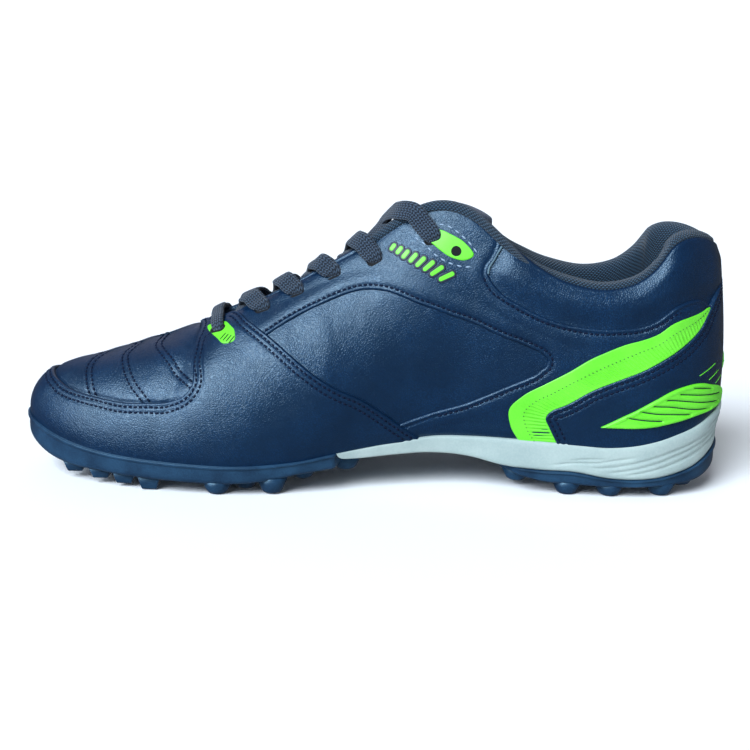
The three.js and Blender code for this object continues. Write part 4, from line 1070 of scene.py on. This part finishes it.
def build_trim():
    """The small pieces of both sides, each kind as one mesh."""
    lime_films, dark_films, eyelet_shades = [], [], []
    light_sewn, marks, perforation_shades, slots, speed_lines, painted_edge_glints = [], [], [], [], [], []
    top_patch, first_patch = round_outline(TOP_PATCH), round_outline(FIRST_PATCH)
    around = unit((top_patch - top_patch.mean(0)) * WALL_SIZE) * PATCH_STITCHES / WALL_SIZE
    around = np.concatenate([top_patch + around, (top_patch + around)[:1]])
    split = mix(*strip_lines(BAND, 200), BAND_SPLIT + 0.03)
    for side in (INNER, OUTER):
        for k, centre in enumerate(SLOTS):
            share = k / (len(SLOTS) - 1)
            length = mix(*SLOT_LENGTHS, share)
            turn = math.radians(180 - mix(*SLOT_TURNS, share))
            lime_line = lozenge(centre, side, length, SLOT_WIDTH, turn)
            dark_line = lozenge(centre, side, length + 1.5, SLOT_WIDTH + 1.6, turn)
            lime_films.append(film_grid(lime_line, side, QUARTER_LIFT, FILM_HEIGHT))
            dark_films.append(film_grid(dark_line, side, QUARTER_LIFT, 0.26))
        lime_films.append(film_grid(top_patch, side, QUARTER_LIFT, FILM_HEIGHT))
        lime_films.append(film_grid(first_patch, side, GUARD_LIFT, FILM_HEIGHT))
        light_sewn += along_line(around, side, QUARTER_LIFT, 3.4, 1.0, 0.36, 0.24)
        # A dark disc at each eyelet: painted shade for the shaded inside of its opening
        for k, place in enumerate(EYELETS):
            lift = GUARD_LIFT if k == 0 else QUARTER_LIFT
            lift = lift + ON_FILM if k in (0, LACED) else lift
            extra = 0.01 if k == LACED else 3.0  # a laced eyelet's dark disc is stretched to an oval: painted shade round the lace's end where it goes in
            ring = lozenge(place, side, 2 * EYELET_RADIUS + extra, 2 * EYELET_RADIUS, 0.0)
            eyelet_shades.append(film_grid(ring, side, lift, 0.06, 0.1))
        for k in range(4):
            marks.append(bar(MARK_PLACE, side, GUARD_LIFT + ON_FILM, 2.4 - 1.05 * k, 0.2 - 0.95 * k,
                             MARK_TURN, 1.9, 0.28, 0.12))
        # Dark dots of painted shade where the leather is perforated
        for along, up in PERFORATIONS:
            place, normal = point(along, side, up, 0.3)
            perforation_shades.append((place, unit(np.cross(normal, [0, 0, 1])), normal, 0.55, 0.55, 0.12))
        for start, end in SPEED_LINES:
            speed_lines += chain(np.linspace(start, end, 12), side, COUNTER_LIFT + 0.02, 0.22, 0.1)
        for line in INSERT_SLOTS:
            slots += chain(line, side, INSERT_FLOOR + 0.04, 0.5, 0.14)
        slots += along_line(split, side, QUARTER_LIFT + BAND_LIFT, BAND_RIB, 0.24, 0.24, 0.08)
        # A pale strip along the eyestay's edge above the collar seam's corner: painted highlight on the
        # rolled edge
        painted_edge_glints += chain(COLLAR_SEAM[COLLAR_SEAM[:, 1] > COLLAR_CORNER], side, QUARTER_LIFT - 0.35,
                           0.55, 0.45)
    films("lime_patches", lime_films, lime)
    films("slot_edges", dark_films, dark_film)
    films("painted_eyelet_shade", eyelet_shades, shade)
    grains("stitches_light", light_sewn, pale_thread)
    grains("patch_marks", marks, shade)
    grains("painted_perforation_shade", perforation_shades, shade)
    grains("insert_slots", slots, dark_film)
    grains("speed_lines", speed_lines, lime)
    grains("painted_edge_glints", painted_edge_glints, painted_edge_glint)


build_trim()


# Collar roll with its lining: a padded ring section that follows the top edge round the heel

ROLL_PROFILE = [  # depth below the leather's edge, offset from the last
    (40, -2.8), (24, -2.8), (8, -2.8), (1.5, -2.6), (-0.6, -1.6), (-1.6, -0.9), (-2.8, -1.2), (-4.0, -2.6),
    (-4.5, -4.6), (-4.1, -6.6), (-2.6, -8.4), (0.4, -9.5), (5, -9.9), (13, -9.7), (23, -8.8), (32, -7.0),
    (38, -4.6), (40, -3.2),
]
ROLL_END = 0.375
ROLL_THINS = 0.26  # from here on the roll gets thinner towards its front end
ROLL_BACK = -2.8  # offset of the side that lies on the leather


def closed_profile(points, count):
    """Depths and offsets, evenly spaced along a smooth closed section."""
    profile = np.array(points + points[:1], float)
    stops = lengths(profile)
    line = curved(stops, profile, np.linspace(0, stops[-1], count))
    line[-1] = line[0]
    return line[:, 0], line[:, 1]


def build_collar():
    depth, offset = closed_profile(ROLL_PROFILE, 72)
    alongs = np.linspace(0, ROLL_END, 150)
    grids = []
    for side in (INNER, OUTER):
        scale = 1 - 0.78 * smooth(ROLL_THINS, 0.35, alongs)
        wall = np.linalg.norm(last(alongs, side, 1) - last(alongs, side, 0.6), axis=-1) / 0.4
        reach = mix(1.0, 0.45, smooth(ROLL_THINS, 0.36, alongs))
        d = np.where(depth[None] > 0, depth[None] * reach[:, None], depth[None] * scale[:, None])
        o = ROLL_BACK + (offset[None] - ROLL_BACK) * scale[:, None]
        along = np.broadcast_to(alongs[:, None], d.shape)
        up = np.clip(1 - d / wall[:, None], 0, 1)
        above = np.maximum(-d, 0)
        one = climb_at(alongs, side)
        grids.append(skin(along, side, up, o) + one[:, None] * above[..., None])
    grid = np.concatenate([grids[0][::-1], grids[1][1:]])
    piece = build("collar_lining", grid, mesh_cloth, ["collar_lining"],
                  uv=measured(grid, 8, len(grid) // 2))


build_collar()


# Knitted binding over the eyestay's edge, from the collar roll towards the laces

BINDING_PROFILE = [(3.6, 0.9), (3.3, 1.7), (1.6, 2.1), (-0.4, 1.7), (-1.5, 0.2), (-1.6, -1.6), (-0.6, -3.0),
                   (1.5, -3.4), (3.4, -3.0), (3.4, -1.0)]
BINDING_START, BINDING_END = 0.30, 0.535


def build_binding():
    depth, offset = closed_profile(BINDING_PROFILE, 30)
    alongs = np.linspace(BINDING_START, BINDING_END, 150)
    one = np.ones_like(alongs)
    for side, hand in ((INNER, "inner"), (OUTER, "outer")):
        ending = smooth(BINDING_END - 0.03, BINDING_END, alongs)
        size = smooth(BINDING_START - 0.02, 0.36, alongs) * (1 - 0.85 * ending)
        base = last(alongs, side, one)
        climb, normal = climb_at(alongs, side), last_normal(alongs, side, one)
        middle = depth.mean(), offset.mean()
        d = middle[0] + (depth - middle[0])[None] * size[:, None]
        o = middle[1] + (offset - middle[1])[None] * size[:, None]
        grid = base[:, None] - climb[:, None] * d[..., None] + normal[:, None] * o[..., None]
        build(f"edge_binding_{hand}", grid, mesh_cloth, uv=measured(grid, 2, 60))


build_binding()


# Tongue: a padded sheet under the throat, with a rounded end above it

TONGUE_UNDER = -(UPPER_WALL + 2 * CLEARANCE)
TONGUE_CROWN = 0.12
TONGUE_TIP_LENGTH = 21.0
COLLAR_FRONT = 0.42
TONGUE_FRONT = THROAT_END - 0.02


def tongue_face(along, offset, count):
    """A line across the tongue, from under the inner eyestay over the throat to the outer one."""
    tuck = [[point(along, side, up, offset)[0] for up in (0.86, 0.93, 1.0)] for side in (INNER, OUTER)]
    a, b = tuck[0][-1], tuck[1][-1]
    arch = TONGUE_CROWN * np.linalg.norm(a - b)
    bridge = []
    for t in (0.25, 0.5, 0.75):
        place = mix(a, b, t)
        place[2] += arch * 4 * t * (1 - t)
        bridge.append(place)
    places = np.array(tuck[0] + bridge + tuck[1][::-1])
    stops = lengths(places)
    return curved(stops, places, np.linspace(0, stops[-1], count))


def build_tongue():
    count = 49
    w = np.linspace(-1, 1, count)
    pad = np.sqrt(np.clip(1 - np.abs(w) ** 5, 0, 1))
    rings = []
    for along in np.linspace(COLLAR_FRONT, TONGUE_FRONT, 90):
        top = tongue_face(along, TONGUE_UNDER, count)
        low = tongue_face(along, TONGUE_UNDER - TONGUE_THICKNESS, count)
        middle = (top + low) / 2
        rings.append(np.concatenate([mix(middle, top, pad[:, None]), mix(middle, low, pad[:, None])[::-1]]))
    first = rings[0]
    centre = first.mean(0)
    tips = []
    for t in np.sin(np.linspace(0, math.pi / 2, 26))[1:]:
        ring = first.copy()
        width = (1 - t ** 3.4) ** (1 / 2.4)
        drop = 0.3 * t ** 1.7
        thick = mix(1.0, 1.5, smooth(0, 0.6, t)) * math.sqrt(max(0.0, 1 - t ** 6))
        middle = (ring + ring[::-1]) / 2
        ring = middle + (ring - middle) * thick
        ring[:, 0] -= t * TONGUE_TIP_LENGTH
        ring[:, 1] = centre[1] + (ring[:, 1] - centre[1]) * width
        ring[:, 2] -= drop * TONGUE_TIP_LENGTH
        tips.append(ring)
    grid = np.array(tips[::-1] + rings)
    grid = np.concatenate([grid, grid[:, :1]], 1)
    piece = build("tongue", grid, tongue_cloth, ["tongue"],
                  uv=measured(grid, count // 2, 40))


build_tongue()


# Laces: flat woven strands from eyelet to eyelet over the tongue

LACE_SECTION = 16


def woven_strand(name, places, facings, widths, nodes=()):
    """A flat strand with soft edges along places, facing as given, as wide as given."""
    stops = lengths(places)
    t = np.linspace(0, stops[-1], 110)
    path = curved(stops, places, t)
    facing = unit(curved(stops, facings, t))
    width = curve(stops, widths)(t)[:, None]
    ahead = unit(np.gradient(path, axis=0))
    across = unit(np.cross(ahead, facing))
    up = np.cross(across, ahead)
    angle = np.linspace(0, 2 * math.pi, LACE_SECTION + 1)
    angle[-1] = 0.0
    out = np.sign(np.cos(angle)) * np.abs(np.cos(angle)) ** 0.45
    rise = np.sign(np.sin(angle)) * np.abs(np.sin(angle)) ** 0.8
    thick = LACE_THICKNESS / 2 * np.clip(2 - width / LACE_WIDTH, 1, 1.5)
    grid = (path[:, None] + across[:, None] * (out[None, :, None] * width[:, None] * 0.5)
            + up[:, None] * (rise[None, :, None] * thick[:, None]))
    round_it = lengths(grid[len(grid) // 2])
    uv = np.stack(np.broadcast_arrays(t[:, None], round_it[None]), -1)
    return build(name, grid, lace_cloth, nodes, uv=uv)


EDGE_SHARE = 0.28  # share of the way from eyelet to eyelet at which a strand leaves the leather
LACE_LIFT = 0.5
EDGE_ARCH = 1.7  # how much higher a strand stands where it goes over the throat's edge
LOOSE_LEAN = 0.035  # how much further on it ends
TOP_ARCH = 1.0  # how much higher the loose last crossing stands


NARROWED = np.array([0.5, 0.86])  # shares of a strand's width in its eyelet and just out of it


def strand(name, near, far, side, under, arch, dives, over, nodes=(), wide=1.0, edge_arch=EDGE_ARCH,
           bow=0.0):
    """A strand from an eyelet over the throat, ending in the far eyelet or inside the far edge. over
    is how far it passes above (or below) the strand that it crosses."""
    lift = under + LACE_LIFT + LACE_THICKNESS / 2

    def at(share, on, up, offset):
        along = mix(near[0], far[0], share) + bow * math.sin(math.pi * np.clip(share, 0, 1))
        return point(along, on, up, offset)
    climb = [at(-0.02, side, near[1] - 0.012, -0.9), at(0.0, side, near[1] + 0.012, lift * 0.75),
             at(0.1, side, mix(near[1], 1, 0.45), lift + 0.3),
             at(0.2, side, mix(near[1], 1, 0.85), lift + edge_arch)]
    a, n_a = at(EDGE_SHARE, side, 1.0, TONGUE_UNDER)
    b, n_b = at(1 - EDGE_SHARE, -side, 1.0, TONGUE_UNDER)
    crown = TONGUE_CROWN * np.linalg.norm(a - b)
    first = lift + edge_arch - TONGUE_UNDER
    final = LACE_THICKNESS / 2 + 0.2 if dives else first
    bridge = []
    for t in (0.06, 0.25, 0.45, 0.65, 0.82, 0.94):
        clear = mix(first, final, smooth(0.0, 0.75, t)) + arch * smooth(0, 0.15, t) * smooth(1, 0.35, t)
        place = mix(a, b, t) + unit(mix(n_a, n_b, t)) * clear
        place[2] += crown * 4 * t * (1 - t) + over * math.sin(math.pi * t)
        bridge.append((place, unit(mix(n_a, n_b, t))))
    if dives:
        tail = [at(1 - EDGE_SHARE + 0.03, -side, 0.97, TONGUE_UNDER)]
    else:
        tail = [at(0.8, -side, mix(far[1], 1, 0.85), lift + edge_arch),
                at(0.9, -side, mix(far[1], 1, 0.45), lift + 0.3),
                at(1.0, -side, far[1] + 0.012, lift * 0.75), at(1.02, -side, far[1] - 0.012, -0.9)]
    path = climb + bridge + tail
    places = np.array([place for place, _ in path])
    facings = np.array([facing for _, facing in path])
    widths = np.full(len(path), LACE_WIDTH * wide)
    widths[:2] *= NARROWED
    if not dives:
        widths[-2:] *= NARROWED[::-1]
    return woven_strand(name, places, facings, widths, nodes)


strand("lace_bar", EYELETS[0], EYELETS[0], INNER, GUARD_LIFT, 0.0, False, 0.0, ["lace_bar"],
       wide=0.7, edge_arch=0.3, bow=0.014)
for k in range(1, LACED):
    arch = TOP_ARCH if k == LACED - 1 else 0.0
    goal = EYELETS[k - 1] if k < LACED - 1 else (EYELETS[k - 1][0] + LOOSE_LEAN, EYELETS[k - 1][1])
    for side, hand in ((INNER, "inner"), (OUTER, "outer")):
        strand(f"lace_{k}_{hand}", EYELETS[k], goal, side, QUARTER_LIFT, arch, True,
               0.9 * side * (-1) ** k, [f"lace_crossing_{k}"] if side == INNER else [])


# Insole

INSOLE_EASE = 1.2
INSOLE_THICKNESS = 4.0
INSOLE_CUP = 2.2  # how much higher its edge stands at the heel


def build_insole():
    alongs = np.linspace(0, 1, 160)
    across = cosine_shares(40)
    inset = np.full(len(alongs), UPPER_INSET + UPPER_WALL + INSOLE_EASE)
    a, _ = rim(alongs, INNER, inset)
    b, _ = rim(alongs, OUTER, inset)
    flat = a[:, None] + (b - a)[:, None] * across[None, :, None]
    height = seat_at(flat[..., 0], across[None]) + CLEARANCE
    cup = (2 * np.abs(across - 0.5))[None] ** 3 * smooth(0.5, 0.1, alongs)[:, None]
    bed = INSOLE_THICKNESS + INSOLE_CUP * cup
    top = np.concatenate([flat, (height + bed)[..., None]], -1)
    low = np.concatenate([flat, height[..., None]], -1)[:, ::-1]
    grid = np.concatenate([top, low, top[:, :1]], 1)
    build("insole", grid, mesh_cloth, ["insole"], uv=grid[..., :2])


build_insole()


# Sole: foam wedge with ribs that fan out at the heel, rubber cup and plate, studs

TIP_ROUNDING = 3.2


def parting_line(x, inward):
    """The foam's underside, which turns up in a round nose at its front end."""
    t = np.clip((x - (MIDSOLE_TIP - TIP_ROUNDING)) / TIP_ROUNDING, 0, 1)
    return mix(seat_at(x, inward), parting_at(x, inward), np.sqrt(1 - t * t))


def layer(name, alongs, inset, bottom, top, profile, material, slot, nodes, lip=None):
    """A closed layer of the sole between the two rims. profile(along, share) gives how far its side
    stands out, for shares of its height, and lip(x) how much its top drops just inside the rim."""
    along, share = np.meshgrid(alongs, cosine_shares(46), indexing="ij")
    flanks = []
    for side in (INNER, OUTER):
        foot, _ = rim(along, side, inset(along) - profile(along, share))
        width = np.maximum(2 * rim_half(along), STEP)
        inward = np.clip((rim(along, INNER)[0][..., 1] - foot[..., 1]) / width, 0, 1)
        z = mix(bottom(foot[..., 0], inward), top(foot[..., 0], inward), share)
        flanks.append(np.concatenate([foot, z[..., None]], -1))
    inner, outer = flanks
    cross = [0.03, 0.2, 0.4, 0.6, 0.8, 0.97]
    over = [mix(inner[:, -1], outer[:, -1], t) for t in cross]
    if lip is not None:
        for places in over:
            places[:, 2] -= lip(places[:, 0])
    below = [mix(outer[:, 0], inner[:, 0], t) for t in cross]
    grid = np.concatenate([inner, np.stack(over, 1), outer[:, ::-1], np.stack(below, 1), inner[:, :1]], 1)
    return build(name, grid, material, nodes)


def along_at(x):
    grid = np.linspace(0, 1, 2001)
    return float(np.interp(x, rim_x(grid), grid))


# Grooves between the foam's ribs: how far along the rim and at what share of the foam's height
FOAM_GROOVES = [np.array(points) for points in (
    [(0.205, 0.63), (0.237, 0.514), (0.262, 0.36)],
    [(0.17, 0.66), (0.202, 0.571), (0.226, 0.436), (0.256, 0.312), (0.282, 0.2)],
    [(0.0, 0.62), (0.053, 0.62), (0.092, 0.62), (0.129, 0.6), (0.16, 0.53), (0.196, 0.4), (0.235, 0.23)],
    [(0.0, 0.46), (0.06, 0.48), (0.111, 0.48), (0.144, 0.41), (0.175, 0.31), (0.214, 0.17)],
    [(0.0, 0.3), (0.05, 0.33), (0.095, 0.33), (0.128, 0.28), (0.159, 0.22), (0.192, 0.13)],
    [(0.0, 0.76), (0.036, 0.755), (0.088, 0.75)],
)]
GROOVE_DEPTH = 0.7
HEEL_LIP = 8.0  # how much higher the foam stands outside the heel than under it
HEEL_FLARE = 1.5


def heel_lip(x):
    return HEEL_LIP * smooth(-0.62, -0.97, x / HALF_LENGTH)


def foam_profile(along, share):
    out = -1.6 * (1 - np.sqrt(np.clip(1 - (2 * share - 1) ** 8, 0, 1)))
    for places in FOAM_GROOVES:
        start, end = places[0, 0], places[-1, 0]
        within = smooth(end, end - 0.02, along) * (smooth(start, start + 0.02, along) if start > 0 else 1)
        from_groove = np.abs(share - curve(places[:, 0], places[:, 1])(along))
        out = out - GROOVE_DEPTH * within * trough(from_groove, 0.055)
    return out + HEEL_FLARE * heel_lip(rim_x(along)) / HEEL_LIP * smooth(0.3, 0.85, share)


def rubber_profile(along, share):
    under = -2.0 * (1 - np.sqrt(np.clip(1 - np.clip(1 - share / 0.3, 0, 1) ** 2, 0, 1)))
    lip = 0.6 * smooth(0.82, 0.86, share) - 0.6 * smooth(0.95, 1.0, share)
    return under + lip


def waist(along):
    share = rim_x(along) / HALF_LENGTH
    return WAIST_INSET * smooth(-0.42, -0.33, share) * smooth(0.11, 0.06, share)


tip_along = along_at(MIDSOLE_TIP)
near_tip = tip_along - np.geomspace(1e-5, 0.012, 14)
foam_alongs = np.unique(np.concatenate([np.linspace(0, tip_along, 240), near_tip]))
layer("midsole", foam_alongs, lambda along: 0 * along, lambda x, i: parting_line(x, i) + 0.15,
      lambda x, i: seat_at(x, i) + heel_lip(x), foam_profile, foam, "pale_foam", ["midsole"], heel_lip)
rubber_alongs = np.unique(np.concatenate([np.linspace(0, 1, 320), near_tip]))


def rubber_top(x, inward):
    return np.where(x < MIDSOLE_TIP, parting_line(x, inward), seat_at(x, inward))


layer("outsole", rubber_alongs, waist, base_at, rubber_top, rubber_profile, rubber, "navy_rubber",
      ["outsole"])


STUD_LEAST_INSET = 6.8  # of a stud's middle, so that its root stays within the sole's edge
STUD_ROOT = 0.8  # how far a stud reaches into the plate
BLOCK = {"segments": 4, "foot": 4.4, "root": 6.6, "edge": 0.5, "turn": math.pi / 4}
DOME = {"segments": 14, "foot": 4.0, "root": 6.9, "edge": 1.4, "turn": 0.0}


def build_studs():
    bm = bmesh.new()
    for at, count, sides, first_inset, last_inset, height in STUD_ROWS:
        along = np.array([along_at(at * HALF_LENGTH)])
        first = rim(along, INNER, np.array([max(first_inset * STUD_EDGE_INSET, STUD_LEAST_INSET)]))[0][0]
        final = rim(along, OUTER, np.array([max(last_inset * STUD_EDGE_INSET, STUD_LEAST_INSET)]))[0][0]
        form = BLOCK if sides == 4 else DOME
        for k in range(count):
            share = k / (count - 1)
            x, y = mix(first, final, share)
            plate = float(base_at(x, share))
            foot = max(0.0, plate - height * GROUND_CLEARANCE)
            tall = plate + STUD_ROOT - foot
            made = bmesh.ops.create_cone(bm, cap_ends=True, segments=form["segments"], depth=tall * MM,
                                         radius1=form["foot"] * MM, radius2=form["root"] * MM)
            place = Matrix.Translation(Vector((x, y, foot + tall / 2)) * MM)
            bmesh.ops.transform(bm, verts=made["verts"], matrix=place @ Matrix.Rotation(form["turn"], 4, "Z"))
            edges = dict.fromkeys(edge for vert in made["verts"] for edge in vert.link_edges)
            below = (foot + tall * 0.9) * MM
            low = [edge for edge in edges if all(vert.co.z <= below for vert in edge.verts)]
            rising = [edge for edge in edges if abs(edge.verts[0].co.z - edge.verts[1].co.z) > MM]
            bmesh.ops.bevel(bm, geom=low + (rising if form is BLOCK else []), offset=form["edge"] * MM,
                            offset_type="OFFSET", segments=3, profile=0.5, affect="EDGES", material=-1)
    bmesh.ops.recalc_face_normals(bm, faces=bm.faces)
    for face in bm.faces:
        face.smooth = True
    mesh = bpy.data.meshes.new("studs")
    bm.to_mesh(mesh)
    bm.free()
    finished("studs", mesh, rubber)


build_studs()


# Camera, floor and light

PIXELS = 750
FOCAL = 1173.0  # pixels
PITCH = math.radians(13.8)
CAMERA_ROLL = math.radians(1.45)
CAMERA_PLACE = Vector((0, 0.5065, 0.165))  # metres
forward = Vector((0, -math.cos(PITCH), -math.sin(PITCH)))
level = Vector((-1, 0, 0))
upright = Vector((0, -math.sin(PITCH), math.cos(PITCH)))
right = level * math.cos(CAMERA_ROLL) + upright * math.sin(CAMERA_ROLL)
above = upright * math.cos(CAMERA_ROLL) - level * math.sin(CAMERA_ROLL)
camera_data = bpy.data.cameras.new("camera")
camera_data.sensor_width = 36.0
camera_data.lens = 36.0 * FOCAL / PIXELS
camera = bpy.data.objects.new("camera", camera_data)
bpy.context.scene.collection.objects.link(camera)
turned = Matrix((right, above, -forward)).transposed().to_4x4()
camera.matrix_world = Matrix.Translation(CAMERA_PLACE) @ turned
bpy.context.scene.camera = camera


def soft_sun(name, towards_light, strength, spread, colour):
    """Even soft light from one side, as from a large window or softbox."""
    data = bpy.data.lights.new(name, "SUN")
    data.energy = strength
    data.angle = math.radians(spread)
    data.color = linear(colour)[:3]
    lamp = bpy.data.objects.new(name, data)
    bpy.context.scene.collection.objects.link(lamp)
    lamp.rotation_euler = Vector(towards_light).to_track_quat("Z", "Y").to_euler()


soft_sun("window", (0.39, 0.62, 0.68), 3.9, 32, "#ebf6ff")
soft_sun("toe_side", (0.70, 0.62, 0.35), 2.6, 40, "#e2f0ff")
soft_sun("behind", (0.1, -0.7, 0.6), 0.3, 50, "#efeaff")
world = bpy.data.worlds.new("studio")
bpy.context.scene.world = world
world.use_nodes = True
world.node_tree.nodes["Background"].inputs["Color"].default_value = linear("#f4f7fb")
world.node_tree.nodes["Background"].inputs["Strength"].default_value = 0.12
bpy.context.scene.view_settings.view_transform = "Standard"  # no tone curve, as in a plain photo

# A pale paper floor that rises gently all round, so that every view ends in it. Metres
FLOOR_HALF = 4.5
FLOOR_FLAT = 1.2
FLOOR_SLOPE = 0.42
FLOOR_BEND = 0.3
paper, _, _ = started("seamless_paper", Base_Color=linear("#fbfbfc"), Roughness=0.9)
floor_bm = bmesh.new()
bmesh.ops.create_grid(floor_bm, x_segments=64, y_segments=64, size=FLOOR_HALF)
for vert in floor_bm.verts:
    away = math.hypot(vert.co.x, vert.co.y) - FLOOR_FLAT
    rise = away - FLOOR_BEND + FLOOR_BEND * math.exp(-away / FLOOR_BEND)
    vert.co.z = FLOOR_SLOPE * rise if away > 0 else 0.0
for face in floor_bm.faces:
    face.smooth = True
floor_mesh = bpy.data.meshes.new("floor")
floor_bm.to_mesh(floor_mesh)
floor_bm.free()
floor_mesh.materials.append(paper)
floor = bpy.data.objects.new("floor", floor_mesh)
bpy.context.scene.collection.objects.link(floor)
floor.visible_glossy = False  # the photo's gloss shows no pale floor
